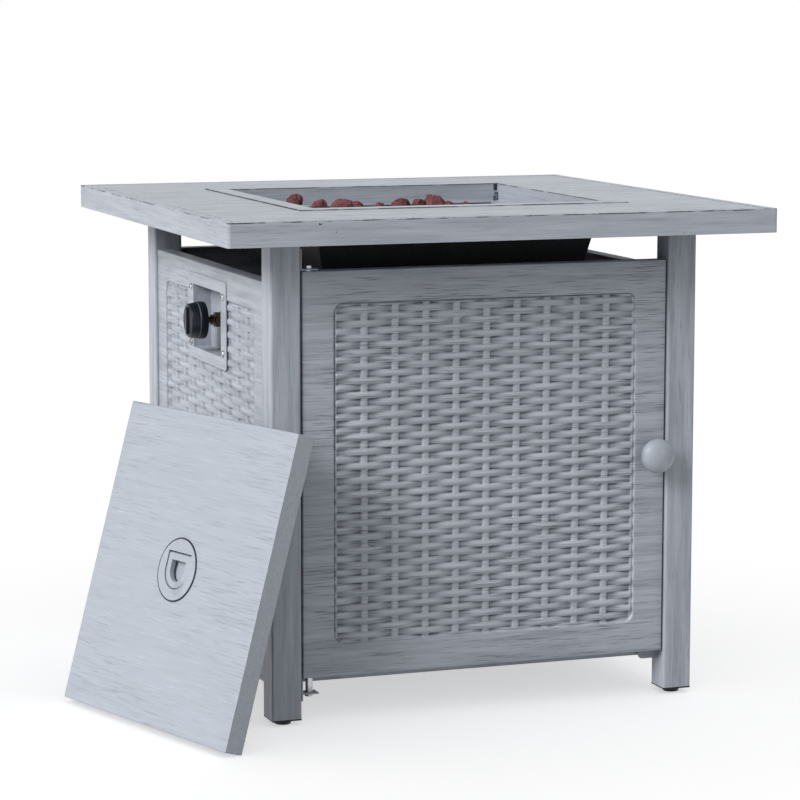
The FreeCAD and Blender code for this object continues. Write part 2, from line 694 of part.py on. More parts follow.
def make_valve():
    centre = plate_centre
    behind = dish_floor + S.plate_sheet
    half = S.valve_side / 2
    block = box("valve_block", (S.valve_length, S.valve_side, S.valve_side), (behind, -half, centre - half))
    neck = cylinder("valve_neck", S.neck_radius, S.neck_length + S.plate_sheet + 2,
                    (dish_floor - S.neck_length, 0, centre), ALONG_X)
    inlet = cylinder("valve_inlet", S.mixer_radius, S.valve_side, (behind + S.valve_length - half, 0,
                                                                  centre - half - S.valve_side))
    bore = cylinder("valve_stem_bore", S.valve_stem_radius + S.hole_clearance,
                    S.neck_length + S.valve_length * 0.6, (dish_floor - S.neck_length, 0, centre), ALONG_X)
    spring_pocket = cylinder("valve_spring_pocket", S.valve_stem_radius + 3, S.spring_pocket,
                             (dish_floor - S.neck_length, 0, centre), ALONG_X)
    body = cut("gas_valve_cut", fuse("gas_valve_blank", [block, neck, inlet]), [bore, spring_pocket])
    piece("gas_valve", body)
    nut = cut("valve_nut_cut",
              prism("valve_nut_block", S.valve_nut_radius, S.valve_nut_height,
                    (dish_floor - S.valve_nut_height, 0, centre), ALONG_X),
              [cylinder("valve_nut_bore", S.neck_radius + 0.05, 3 * S.valve_nut_height,
                        (dish_floor - 2 * S.valve_nut_height, 0, centre), ALONG_X)])
    piece("valve_nut", nut)


def make_valve_stem():
    """Turning stem from inside the valve to inside the knob, with the collar that the spring presses."""
    centre = plate_centre
    inner_end = dish_floor + S.valve_length * 0.35
    rod = cylinder("stem_rod", S.valve_stem_radius, inner_end - stem_tip, (stem_tip, 0, centre), ALONG_X)
    collar = cylinder("stem_collar", S.valve_stem_radius + 2.5, S.stem_collar, (collar_front, 0, centre), ALONG_X)
    piece("valve_stem", fuse("valve_stem_turned", [rod, collar]))


collar_front = dish_floor - S.neck_length - S.valve_travel - S.stem_collar


def make_stem_spring():
    """Coil round the stem, from the floor of the neck's pocket to the stem's collar."""
    wire, turns = float(S.spring_wire), int(float(S.spring_turns))
    start = float(collar_front + S.stem_collar) + wire
    end = float(dish_floor - S.neck_length + S.spring_pocket) - wire
    coil_radius = float(S.valve_stem_radius) + 2 * wire
    sides, stations = 6, 10 * turns
    rings = []
    for station in range(stations + 1):
        along = start + (end - start) * station / stations
        turned = 2 * math.pi * turns * station / stations
        ring = []
        for side in range(sides):
            round_wire = 2 * math.pi * side / sides
            reach = coil_radius + wire * math.cos(round_wire)
            ring.append(Vector(along + wire * math.sin(round_wire), reach * math.cos(turned),
                               reach * math.sin(turned)))
        rings.append(ring)
    faces = [Part.Face(Part.makePolygon(ring + ring[:1])) for ring in (rings[0], rings[-1])]
    for near, far in zip(rings, rings[1:]):
        for side in range(sides):
            after = (side + 1) % sides
            for corners in ((near[side], near[after], far[after]), (near[side], far[after], far[side])):
                faces.append(Part.Face(Part.makePolygon(list(corners) + [corners[0]])))
    placement = Placement(Vector(0, 0, float(plate_centre)), UP)
    piece("stem_spring", shaped("stem_spring_coil", closed_solid(faces), placement))


def make_control_knob():
    """Black knob: skirt, groove, tapered body and a grip bar, with a blind bore for the stem."""
    centre = plate_centre
    back = plate_front - S.knob_standoff
    body = new_body("control_knob_body")
    profile = plane_sketch(body, "knob_profile", role="XZ_Plane")
    skirt = S.knob_length * 0.38
    add_outline(profile, [(0, 0), (S.knob_radius - 1.5, 0), (S.knob_radius, 1.5), (S.knob_radius, skirt),
                          (S.knob_radius - 1.2, skirt + 1.2), (S.knob_front_radius, S.knob_length - 3.5),
                          (S.knob_front_radius - 1.5, S.knob_length - 2), (0, S.knob_length - 2)])
    turned = body.newObject("PartDesign::Revolution", "knob_turned")
    turned.Profile = profile
    turned.ReferenceAxis = (profile, ["V_Axis"])
    turned.Angle = 360
    doc.recompute()
    grip = plane_sketch(body, "knob_grip", lift=S.knob_length - 3)
    add_rectangle(grip, 2 * S.knob_front_radius - 10, 7)
    pad(body, grip, 3)
    bore = plane_sketch(body, "knob_bore")
    add_circle(bore, S.valve_stem_radius + S.knob_bore_clearance)
    pocket(body, bore, S.knob_length / 2 + S.hole_clearance, upward=True)
    place(body, (back, 0, centre), Rotation(Vector(0, 1, 0), -90))
    piece("control_knob", body)


# Legs and feet

leg_top = S.top_height - S.top_sheet
leg_centre = S.body_side / 2 - S.leg_side / 2
leg_inner = S.body_side / 2 - S.leg_side
CORNERS = {"front_left": (-1, -1), "front_right": (1, -1), "rear_left": (-1, 1), "rear_right": (1, 1)}


def make_legs():
    for corner, (sx, sy) in CORNERS.items():
        name = "leg_" + corner
        body = new_body(name + "_body")
        outline = plane_sketch(body, name + "_outline")
        add_rectangle(outline, S.leg_side, S.leg_side)
        tube = pad(body, outline, leg_top - S.glide_height)
        round_uprights(body, tube, S.leg_corner, 1)
        bore = plane_sketch(body, name + "_bore")
        add_rectangle(bore, S.leg_side - 2 * S.leg_wall, S.leg_side - 2 * S.leg_wall)
        pocket(body, bore, leg_top, upward=True)
        place(body, (sx * leg_centre, sy * leg_centre, S.glide_height))
        piece(name, cut(name + "_drilled", body, leg_holes(name, sx, sy)))


def leg_holes(name, sx, sy):
    """Clearance holes for every screw that enters this leg."""
    holes = []
    deep = 4 * S.leg_wall
    radius = S.bolt_radius + S.hole_clearance
    for i, (x, z) in enumerate(panel_bolt_points()):
        start = sy * leg_inner - 2 * S.leg_wall
        holes.append(cylinder(f"{name}_side_hole_{i}", radius, deep, (sx * x, start, z), ALONG_Y))
        if sy > 0:
            start = sx * leg_inner - 2 * S.leg_wall
            holes.append(cylinder(f"{name}_rear_hole_{i}", radius, deep, (start, x, z), ALONG_X))
    start = sy * leg_inner - 2 * S.leg_wall
    holes.append(cylinder(f"{name}_bracket_hole", radius, deep, (sx * leg_centre, start, bracket_bolt_height), ALONG_Y))
    if (sx, sy) == (-1, -1):
        for i, z in enumerate(hinge_screw_heights()):
            holes.append(cylinder(f"{name}_hinge_hole_{i}", S.screw_radius + S.hole_clearance, deep,
                                  (-leg_inner - 2 * S.leg_wall, hinge_y, z), ALONG_X))
    if (sx, sy) == (1, -1):
        holes.append(cylinder(f"{name}_magnet_hole", S.screw_radius + S.hole_clearance, deep,
                              (leg_inner - 2 * S.leg_wall, magnet_y, magnet_height), ALONG_X))
        holes.append(cylinder(f"{name}_stop_hole", S.screw_radius + S.hole_clearance, deep,
                              (leg_inner - 2 * S.leg_wall, stop_screw_y, stop_screw_height), ALONG_X))
    return holes


def panel_bolt_points():
    """Distance from the table's middle and height of the bolts in one panel edge."""
    out = S.body_side / 2 - S.panel_setback - S.flange_depth * 0.6
    return [(out, S.panel_bottom + S.bolt_end), (out, panel_top - S.bolt_end)]


def make_foot_glides():
    glides = []
    plug_side = S.leg_side - 2 * S.leg_wall - 2 * S.plug_clearance
    for corner, (sx, sy) in CORNERS.items():
        x, y = sx * leg_centre, sy * leg_centre
        parts = [cone(f"glide_foot_{corner}", S.glide_radius - 2, S.glide_radius, S.glide_height - 2, (x, y, 0)),
                 box(f"glide_cap_{corner}", (S.leg_side - 1, S.leg_side - 1, 2),
                     (x - (S.leg_side - 1) / 2, y - (S.leg_side - 1) / 2, S.glide_height - 2)),
                 box(f"glide_plug_{corner}", (plug_side, plug_side, S.glide_plug),
                     (x - plug_side / 2, y - plug_side / 2, S.glide_height))]
        glides.append(fuse(f"glide_{corner}", parts))
    piece("foot_glides", group("foot_glide_group", glides))


# Woven panels and door


def woven_panel(width, height):
    """Folded sheet panel whose middle is pressed into a basket weave.

    X runs across, Z up, and the face looks along -Y from y = 0. The pattern is a field of hipped
    crests, one for each place where a weaver passes over a stake, and neighbouring stakes are
    staggered by half a pitch.
    """
    wall = float(S.panel_sheet)
    depth = float(S.flange_depth)
    pitch_u, pitch_v = float(S.stake_pitch), float(S.weaver_pitch)
    margin = float(S.weave_margin)
    stakes = 2 * int((width - 2 * margin) / pitch_u / 2)
    weavers = int((height - 2 * margin) / pitch_v)
    half_u, half_v = stakes * pitch_u / 2, weavers * pitch_v / 2
    pit, crest = float(S.weave_depth), float(S.crest_drop)
    hip = pitch_u / 4
    faces = []

    def add_face(points, hole=None):
        loops = [points] if hole is None else [points, hole]
        wires = [Part.makePolygon([Vector(*p) for p in loop + loop[:1]]) for loop in loops]
        faces.append(Part.makeFace(wires, "Part::FaceMakerBullseye"))

    def ring(half_w, half_h, y):
        return [(-half_w, y, -half_h), (half_w, y, -half_h), (half_w, y, half_h), (-half_w, y, half_h)]

    def sleeve(half_w, half_h, near, far):
        front, back = ring(half_w, half_h, near), ring(half_w, half_h, far)
        for i in range(4):
            j = (i + 1) % 4
            add_face([front[i], front[j], back[j], back[i]])

    half_w, half_h = width / 2, height / 2
    back = pit + wall
    add_face(ring(half_w, half_h, 0), ring(half_u, half_v, 0))
    sleeve(half_w, half_h, 0, depth)
    add_face(ring(half_w, half_h, depth), ring(half_w - wall, half_h - wall, depth))
    sleeve(half_w - wall, half_h - wall, wall, depth)
    add_face(ring(half_w - wall, half_h - wall, wall), ring(half_u + wall, half_v + wall, wall))
    sleeve(half_u + wall, half_v + wall, wall, back)
    add_face(ring(half_u + wall, half_v + wall, back))

    low_edge, high_edge, side_edges = [], [], {}
    for j in range(stakes + 1):
        centre = -half_u + j * pitch_u
        left, right = max(-half_u, centre - pitch_u / 2), min(half_u, centre + pitch_u / 2)
        ridge_left = left if j == 0 else left + hip
        ridge_right = right if j == stakes else right - hip
        staggered = j % 2 == 0
        shift = 0.5 if staggered else 0.0
        rows = weavers + (1 if staggered else 0)
        side = []
        for m in range(rows):
            start, end = (m - shift) * pitch_v - half_v, (m + 1 - shift) * pitch_v - half_v
            ridge = (start + end) / 2
            has_low, has_high = start > -half_v - 1e-6, end < half_v + 1e-6
            start, end = max(start, -half_v), min(end, half_v)
            top_left, top_right = (ridge_left, crest, ridge), (ridge_right, crest, ridge)
            if has_low:
                add_face([(left, pit, start), (right, pit, start), top_right, top_left])
            if has_high:
                add_face([top_left, top_right, (right, pit, end), (left, pit, end)])
            for at_left, edge, tip in ((True, left, top_left), (False, right, top_right)):
                if (j == 0 and at_left) or (j == stakes and not at_left):
                    continue
                chain = [(edge, pit, start), (edge, pit, end)]
                if has_low and has_high:
                    chain.insert(1, (edge, pit, ridge))
                add_face(chain + [tip])
            side += [(start, pit if has_low else crest), (ridge, crest), (end, pit if has_high else crest)]
        if j in (0, stakes):
            side_edges[j] = side
        if staggered:
            run = [(left, pit), (ridge_left, crest), (ridge_right, crest), (right, pit)]
            run = run[1:] if j == 0 else run
            run = run[:-1] if j == stakes else run
        else:
            run = [(left, pit), (right, pit)]
        low_edge += run
        high_edge += run

    def tidy(chain):
        return [p for i, p in enumerate(chain) if i == 0 or max(abs(p[0] - chain[i - 1][0]),
                                                               abs(p[1] - chain[i - 1][1])) > 1e-6]

    for v, chain in ((-half_v, low_edge), (half_v, high_edge)):
        add_face([(-half_u, 0, v)] + [(u, y, v) for u, y in tidy(chain)] + [(half_u, 0, v)])
    for u, j in ((-half_u, 0), (half_u, stakes)):
        add_face([(u, 0, -half_v)] + [(u, y, v) for v, y in tidy(side_edges[j])] + [(u, 0, half_v)])
    return closed_solid(faces)


def panel_feature(name, width, height, at, angle):
    placement = Placement(Vector(*[float(as_size(c)) for c in at]), Rotation(Vector(0, 0, 1), angle))
    return shaped(name + "_sheet", woven_panel(float(width), float(height)), placement)


panel_width = S.body_side - 2 * S.leg_side - 2 * S.panel_gap
panel_height = panel_top - S.panel_bottom
panel_out = S.body_side / 2 - S.panel_setback
panel_middle = (panel_top + S.panel_bottom) / 2
PANELS = {"panel_left": (-1, 0, -90), "panel_right": (1, 0, 90), "panel_rear": (0, 1, 180)}


def make_panels():
    radius = S.bolt_radius + S.hole_clearance
    for name, (sx, sy, angle) in PANELS.items():
        at = (sx * panel_out, sy * panel_out, panel_middle)
        base = panel_feature(name, panel_width, panel_height, at, angle)
        holes = []
        for i, (out, z) in enumerate(panel_bolt_points()):
            for side in (-1, 1):
                start = side * (panel_width / 2) - 2 * S.panel_sheet
                spot, turn = ((sx * out, start, z), ALONG_Y) if sx else ((start, out, z), ALONG_X)
                holes.append(cylinder(f"{name}_bolt_hole_{i}_{side + 1}", radius, 4 * S.panel_sheet, spot, turn))
        for i, (x, y) in enumerate(tray_bolt_points()):
            if (sx and float(x) * sx > 0) or (sy and i >= 4):
                holes.append(cylinder(f"{name}_tray_hole_{i}", radius, 4 * S.panel_sheet,
                                      (x, y, S.panel_bottom - 2 * S.panel_sheet)))
        if sx < 0:
            holes += control_openings()
        piece(name, cut(name + "_cut", base, holes))


def control_openings():
    """Opening for the recess of the control plate, and its four screw holes."""
    length = S.dish_length + 2 * S.plate_sheet + 2 * S.dish_clearance
    height = S.dish_height + 2 * S.plate_sheet + 2 * S.dish_clearance
    opening = box("control_opening", (S.flange_depth, length, height),
                  (plate_face - 1, -length / 2, plate_centre - height / 2))
    holes = [cylinder(f"control_screw_hole_{i}", S.screw_radius + S.hole_clearance, S.flange_depth,
                      (plate_face - 1, y, z), ALONG_X) for i, (y, z) in enumerate(plate_screw_points())]
    return [opening] + holes


def make_panel_bolts():
    bolts = []
    face = panel_width / 2 - S.panel_sheet
    reach = S.panel_sheet + S.panel_gap + S.leg_wall + S.bolt_bite
    for name, (sx, sy, angle) in PANELS.items():
        for i, (out, z) in enumerate(panel_bolt_points()):
            for side in (-1, 1):
                turn = Rotation(Vector(0, 0, 1), Vector(0, -side, 0) if sx else Vector(-side, 0, 0))
                spot = (sx * out, side * face, z) if sx else (side * face, out, z)
                bolts.append(hex_bolt(f"{name}_bolt_{i}_{side + 1}", spot, turn, reach))
    piece("panel_bolts", group("panel_bolt_group", bolts))


def hex_bolt(name, seat, turn, reach):
    """Bolt whose head stands on a seat; the turned Z axis points from the seat through the head."""
    out = turn.multVec(Vector(0, 0, 1))
    start = [c - reach * round(d) if abs(d) > 0.5 else c for c, d in zip(seat, out)]
    return fuse(name, [prism(name + "_head", S.bolt_head, S.bolt_head_height, seat, turn),
                       thread(name + "_shank", S.bolt_radius, reach, start, turn)])


door_width = 2 * leg_inner - S.door_gap_hinge - S.door_gap_free
door_height = door_top - S.door_bottom
door_left = -leg_inner + S.door_gap_hinge
door_right = leg_inner - S.door_gap_free
door_face = -panel_out
hinge_x = door_left + S.hinge_side
hinge_y = door_face + S.hinge_back
ball_x = door_right - S.ball_side


def make_door():
    at = ((door_left + door_right) / 2, door_face, door_middle)
    base = panel_feature("door_panel", door_width, door_height, at, 0)
    radius = S.hinge_pin_radius + S.hinge_clearance
    holes = [cylinder("door_low_pivot_hole", radius, 4 * S.panel_sheet,
                      (hinge_x, hinge_y, S.door_bottom - 2 * S.panel_sheet)),
             cylinder("door_high_pivot_hole", radius, 4 * S.panel_sheet,
                      (hinge_x, hinge_y, door_top - 2 * S.panel_sheet)),
             cylinder("door_ball_hole", S.screw_radius + S.hole_clearance, 4 * S.panel_sheet,
                      (ball_x, door_face - 2 * S.panel_sheet, ball_height), ALONG_Y)]
    piece("door_panel", cut("door_panel_cut", base, holes))


def make_door_knob():
    """Round knob with a short neck, turned about the line of its screw."""
    body = new_body("door_knob_body")
    profile = plane_sketch(body, "ball_profile", role="XZ_Plane")
    half_depth = S.ball_radius * 0.61
    points = [(0, 0), (S.ball_neck + 2, 0), (S.ball_neck, 2), (S.ball_neck, S.ball_length - 2 * half_depth - 1)]
    for angle in (-60, -30, 0, 30, 60):
        points.append((S.ball_radius * math.cos(math.radians(angle)),
                       S.ball_length - half_depth + half_depth * math.sin(math.radians(angle))))
    points.append((0, S.ball_length))
    add_outline(profile, points)
    turned = body.newObject("PartDesign::Revolution", "ball_turned")
    turned.Profile = profile
    turned.ReferenceAxis = (profile, ["V_Axis"])
    turned.Angle = 360
    doc.recompute()
    bore = plane_sketch(body, "ball_bore")
    add_circle(bore, S.screw_radius)
    pocket(body, bore, S.ball_length / 2, upward=True)
    place(body, (ball_x, door_face, ball_height), Rotation(Vector(1, 0, 0), 90))
    piece("door_knob", body)
    reach = S.ball_length / 2 + S.panel_sheet
    seat = door_face + S.panel_sheet
    screw = fuse("ball_screw", [
        cylinder("ball_screw_head", S.screw_head, S.screw_head_height, (ball_x, seat, ball_height), ALONG_Y),
        thread("ball_screw_shank", S.screw_radius, reach, (ball_x, seat - reach, ball_height), ALONG_Y)])
    piece("door_knob_screw", screw)


# Hinges, stop and catch of the door

top_tab = door_top + S.hinge_washer
low_tab = S.door_bottom - S.hinge_drop


def hinge_screw_heights():
    return [top_tab + S.hinge_sheet + S.hinge_plate * 0.35, top_tab + S.hinge_sheet + S.hinge_plate * 0.75,
            low_tab + S.hinge_plate * 0.4]


def make_hinges():
    plate_x = -leg_inner
    tab_y = hinge_y - S.hinge_tab_depth / 2
    bore = S.hinge_pin_radius + 0.05
    screw_bore = S.screw_radius + S.hole_clearance
    heights = hinge_screw_heights()

    def bracket(name, tab_z, plate_z, screw_zs):
        parts = [box(name + "_tab", (S.hinge_tab_length, S.hinge_tab_depth, S.hinge_sheet), (plate_x, tab_y, tab_z)),
                 box(name + "_plate", (S.hinge_sheet, S.hinge_tab_depth, S.hinge_plate), (plate_x, tab_y, plate_z))]
        holes = [cylinder(name + "_pivot_bore", bore, 4 * S.hinge_sheet,
                          (hinge_x, hinge_y, tab_z - 2 * S.hinge_sheet))]
        holes += [cylinder(f"{name}_screw_hole_{i}", screw_bore, 4 * S.hinge_sheet,
                           (plate_x - S.hinge_sheet, hinge_y, z), ALONG_X) for i, z in enumerate(screw_zs)]
        return cut(name + "_drilled", fuse(name + "_bent", parts), holes)

    piece("hinge_bracket_top", bracket("top_bracket", top_tab, top_tab, heights[:2]))
    piece("hinge_bracket_bottom", bracket("low_bracket", low_tab - S.hinge_sheet,
                                          low_tab - S.hinge_sheet - S.hinge_tail, heights[2:]))
    slack = 0.1
    reach = S.hinge_washer + S.hinge_sheet + S.hinge_grip
    piece("hinge_bolt_top", fuse("top_pivot", [
        prism("top_pivot_head", S.bolt_head, S.bolt_head_height, (hinge_x, hinge_y, top_tab + S.hinge_sheet)),
        cylinder("top_pivot_collar", S.collar_radius, S.hinge_washer - slack, (hinge_x, hinge_y, door_top + slack)),
        cylinder("top_pivot_pin", S.hinge_pin_radius, reach,
                 (hinge_x, hinge_y, top_tab + S.hinge_sheet - reach))]))
    reach = S.hinge_drop + S.hinge_sheet + S.hinge_grip
    piece("hinge_bolt_bottom", fuse("low_pivot", [
        prism("low_pivot_head", S.bolt_head, S.bolt_head_height,
              (hinge_x, hinge_y, low_tab - S.hinge_sheet - S.bolt_head_height)),
        cylinder("low_pivot_collar", S.collar_radius, S.hinge_drop - slack, (hinge_x, hinge_y, low_tab)),
        cylinder("low_pivot_pin", S.hinge_pin_radius, reach, (hinge_x, hinge_y, low_tab - S.hinge_sheet))]))
    screws = []
    shank = S.hinge_sheet + S.leg_wall + S.bolt_bite
    for i, z in enumerate(heights):
        seat = plate_x + S.hinge_sheet
        screws.append(fuse(f"hinge_screw_{i}", [
            cylinder(f"hinge_screw_head_{i}", S.screw_head * 0.8, S.screw_head_height * 0.7, (seat, hinge_y, z), ALONG_X),
            thread(f"hinge_screw_shank_{i}", S.screw_radius, shank, (seat - shank, hinge_y, z), ALONG_X)]))
    piece("hinge_screws", group("hinge_screw_group", screws))


magnet_face = door_face + S.flange_depth + S.magnet_gap
magnet_y = magnet_face + S.magnet_depth / 2
stop_height = S.door_bottom - S.stop_drop
stop_face = door_face + S.flange_depth + S.magnet_gap
stop_screw_y = stop_face + S.hinge_sheet + S.stop_foot / 2
stop_screw_height = stop_height + S.stop_rise / 2


def make_stop_and_catch():
    foot = box("stop_foot", (S.hinge_sheet, S.stop_foot + S.hinge_sheet, S.stop_rise),
               (leg_inner - S.hinge_sheet, stop_face, stop_height))
    blade = box("stop_blade", (S.stop_reach - S.stop_corner, S.hinge_sheet, S.stop_rise),
                (leg_inner - (S.stop_reach - S.stop_corner), stop_face, stop_height))
    tip = box("stop_tip", (S.stop_corner, S.hinge_sheet, S.stop_rise - S.stop_corner),
              (leg_inner - S.stop_reach, stop_face, stop_height + S.stop_corner))
    round_tip = cylinder("stop_round", S.stop_corner, S.hinge_sheet,
                         (leg_inner - S.stop_reach + S.stop_corner, stop_face, stop_height + S.stop_corner), ALONG_Y)
    hole = cylinder("stop_screw_hole", S.screw_radius + S.hole_clearance, 4 * S.hinge_sheet,
                    (leg_inner - 2 * S.hinge_sheet, stop_screw_y, stop_screw_height), ALONG_X)
    piece("door_stop", cut("door_stop_drilled", fuse("door_stop_bent", [foot, blade, tip, round_tip]), [hole]))
    half = S.magnet_length / 2
    case = box("magnet_case", (S.magnet_width, S.magnet_depth, S.magnet_length),
               (leg_inner - S.magnet_width, magnet_face, magnet_height - half))
    hole = cylinder("magnet_screw_hole", S.screw_radius + S.hole_clearance, 2 * S.magnet_width,
                    (leg_inner - 1.5 * S.magnet_width, magnet_y, magnet_height), ALONG_X)
    piece("magnet_catch", cut("magnet_catch_drilled", case, [hole]))
    screws = []
    for name, y, z, seat in (("magnet", magnet_y, magnet_height, leg_inner - S.magnet_width),
                             ("stop", stop_screw_y, stop_screw_height, leg_inner - S.hinge_sheet)):
        shank = leg_inner - seat + S.leg_wall + S.bolt_bite
        screws.append(fuse(name + "_screw", [
            cylinder(name + "_screw_head", S.screw_head * 0.8, S.screw_head_height * 0.7,
                     (seat - S.screw_head_height * 0.7, y, z), ALONG_X),
            thread(name + "_screw_shank", S.screw_radius, shank, (seat, y, z), ALONG_X)]))
    piece("catch_screws", group("catch_screw_group", screws))
    inner_face = door_right - S.panel_sheet
    back = door_face + S.flange_depth
    piece("strike_plate", fuse("strike_bent", [
        box("strike_side", (S.strike_sheet, S.flange_depth - 6, S.magnet_length - 6),
            (inner_face - S.strike_sheet, back - (S.flange_depth - 6), magnet_height - half + 3)),
        box("strike_face", (S.magnet_width, S.strike_sheet, S.magnet_length - 6),
            (inner_face - S.magnet_width, back - S.strike_sheet, magnet_height - half + 3))]))


# Tank tray


def tray_bolt_points():
    """Two bolts in each side panel's lower flange and two in the rear panel's."""
    out = panel_out - S.flange_depth / 2
    return [(side * out, reach * S.tray_bolt_reach) for side in (-1, 1) for reach in (-1, 1)] + [
        (side * S.tray_bolt_reach, out) for side in (-1, 1)]


def make_tank_tray():
    floor = S.panel_bottom + S.panel_sheet
    outer = panel_out - S.panel_sheet - S.tray_clearance
    inner = panel_width / 2 - S.panel_sheet - S.tray_clearance
    front = -panel_out + S.flange_depth + S.tray_front
    plate = [box("tray_across", (2 * outer, 2 * inner, S.tray_sheet), (-outer, -inner, floor)),
             box("tray_along", (2 * inner, outer - front, S.tray_sheet), (-inner, front, floor)),
             box("tray_front_lip", (2 * (inner - S.tray_lip_end), S.tray_sheet, S.tray_lip),
                 (-inner + S.tray_lip_end, front, floor))]
    holes = [box(f"tray_vent_{i}", (S.tray_vent_length, S.tray_vent_width, 4 * S.tray_sheet),
                 (-S.tray_vent_length / 2, y - S.tray_vent_width / 2, floor - S.tray_sheet))
             for i, y in enumerate(tray_vent_rows())]
    for i, (x, y) in enumerate(tray_bolt_points()):
        holes.append(cylinder(f"tray_hole_{i}", S.bolt_radius + S.hole_clearance, 4 * S.tray_sheet,
                              (x, y, floor - S.tray_sheet)))
    piece("tank_tray", cut("tank_tray_drilled", fuse("tank_tray_blank", plate), holes))
    seat = floor + S.tray_sheet
    outside = cylinder("tank_ring_outside", S.tank_ring_radius + S.tank_ring_wall, S.tank_ring_height, (0, 0, seat))
    inside = cylinder("tank_ring_inside", S.tank_ring_radius, 3 * S.tank_ring_height,
                      (0, 0, seat - S.tank_ring_height))
    piece("tank_ring", cut("tank_ring_cut", outside, [inside]))
    reach = S.tray_sheet + S.panel_sheet + S.bolt_bite
    bolts = [hex_bolt(f"tray_bolt_{i}", (x, y, seat), UP, reach) for i, (x, y) in enumerate(tray_bolt_points())]
    piece("tray_bolts", group("tray_bolt_group", bolts))


def tray_vent_rows():
    """Vent slots side by side inside the ring that holds the tank's foot."""
    return [i * 3 * S.tray_vent_width for i in (-2, -1, 0, 1, 2)]


# Corner brackets under the tabletop

bracket_bolt_height = leg_top - S.bracket_side * 0.6
stud_y = leg_inner - S.bracket_side * 0.62


def make_corner_brackets():
    brackets, bolts, nuts, studs = [], [], [], []
    reach = S.bracket_sheet + S.leg_wall + S.bolt_bite
    for corner, (sx, sy) in CORNERS.items():
        x0 = sx * leg_centre - S.bracket_width / 2
        near = sy * leg_inner - (S.bracket_sheet if sy > 0 else 0)
        deep = sy * leg_inner - (S.bracket_side if sy > 0 else 0)
        parts = [box(f"bracket_upright_{corner}", (S.bracket_width, S.bracket_sheet, S.bracket_side),
                     (x0, near, leg_top - S.bracket_side)),
                 box(f"bracket_flat_{corner}", (S.bracket_width, S.bracket_side, S.bracket_sheet),
                     (x0, deep, leg_top - S.bracket_sheet))]
        holes = [cylinder(f"bracket_bolt_hole_{corner}", S.bolt_radius + S.hole_clearance, 6 * S.bracket_sheet,
                          (sx * leg_centre, sy * leg_inner - 3 * S.bracket_sheet, bracket_bolt_height), ALONG_Y),
                 cylinder(f"bracket_stud_hole_{corner}", S.bolt_radius + S.hole_clearance, 4 * S.bracket_sheet,
                          (sx * leg_centre, sy * stud_y, leg_top - 2 * S.bracket_sheet))]
        brackets.append(cut(f"bracket_{corner}", fuse(f"bracket_bent_{corner}", parts), holes))
        turn = Rotation(Vector(0, 0, 1), Vector(0, -sy, 0))
        bolts.append(hex_bolt(f"bracket_bolt_{corner}",
                              (sx * leg_centre, sy * (leg_inner - S.bracket_sheet), bracket_bolt_height), turn, reach))
        spot = (sx * leg_centre, sy * stud_y)
        under = leg_top - S.bracket_sheet
        nuts.append(cut(f"stud_nut_{corner}",
                        prism(f"stud_nut_block_{corner}", S.bolt_head, S.bolt_head_height,
                              spot + (under - S.bolt_head_height,)),
                        [cylinder(f"stud_nut_bore_{corner}", S.bolt_radius + 0.05, 3 * S.bolt_head_height,
                                  spot + (under - 2 * S.bolt_head_height,))]))
        stud_length = S.bracket_sheet + S.bolt_head_height + S.bolt_bite
        studs.append(thread(f"stud_{corner}", S.bolt_radius, stud_length, spot + (leg_top - stud_length,)))
    piece("corner_brackets", group("corner_bracket_group", brackets))
    piece("bracket_bolts", group("bracket_bolt_group", bolts))
    piece("stud_nuts", group("stud_nut_group", nuts))
    piece("tabletop_studs", group("tabletop_stud_group", studs))


# Lid, leaning on the front left leg


def lid_placement():
    """Frame of the lid: X across, Y up the slope, Z out of its upper face, origin in that face."""
    lean, heading = math.radians(float(S.lid_lean)), math.radians(float(S.lid_heading))
    across = Vector(math.cos(heading), math.sin(heading), 0)
    outward = Vector(math.sin(heading), -math.cos(heading), 0)
    slope = Vector(0, 0, math.cos(lean)) - outward * math.sin(lean)
    normal = outward * math.cos(lean) + Vector(0, 0, math.sin(lean))
    corner = -(float(S.body_side) / 2 - float(S.leg_corner))
    touch = Vector(corner, corner, 0) + outward * (float(S.leg_corner) + float(S.lid_gap))
    length, depth = float(S.lid_length), float(S.lid_depth)
    upper_edge = touch - across * float(S.lid_offset) + Vector(0, 0, length * math.cos(lean))
    face_centre = upper_edge - slope * (length / 2) + normal * depth
    matrix = FreeCAD.Matrix(across.x, slope.x, normal.x, face_centre.x,
                            across.y, slope.y, normal.y, face_centre.y,
                            across.z, slope.z, normal.z, face_centre.z, 0, 0, 0, 1)
    return Placement(matrix)


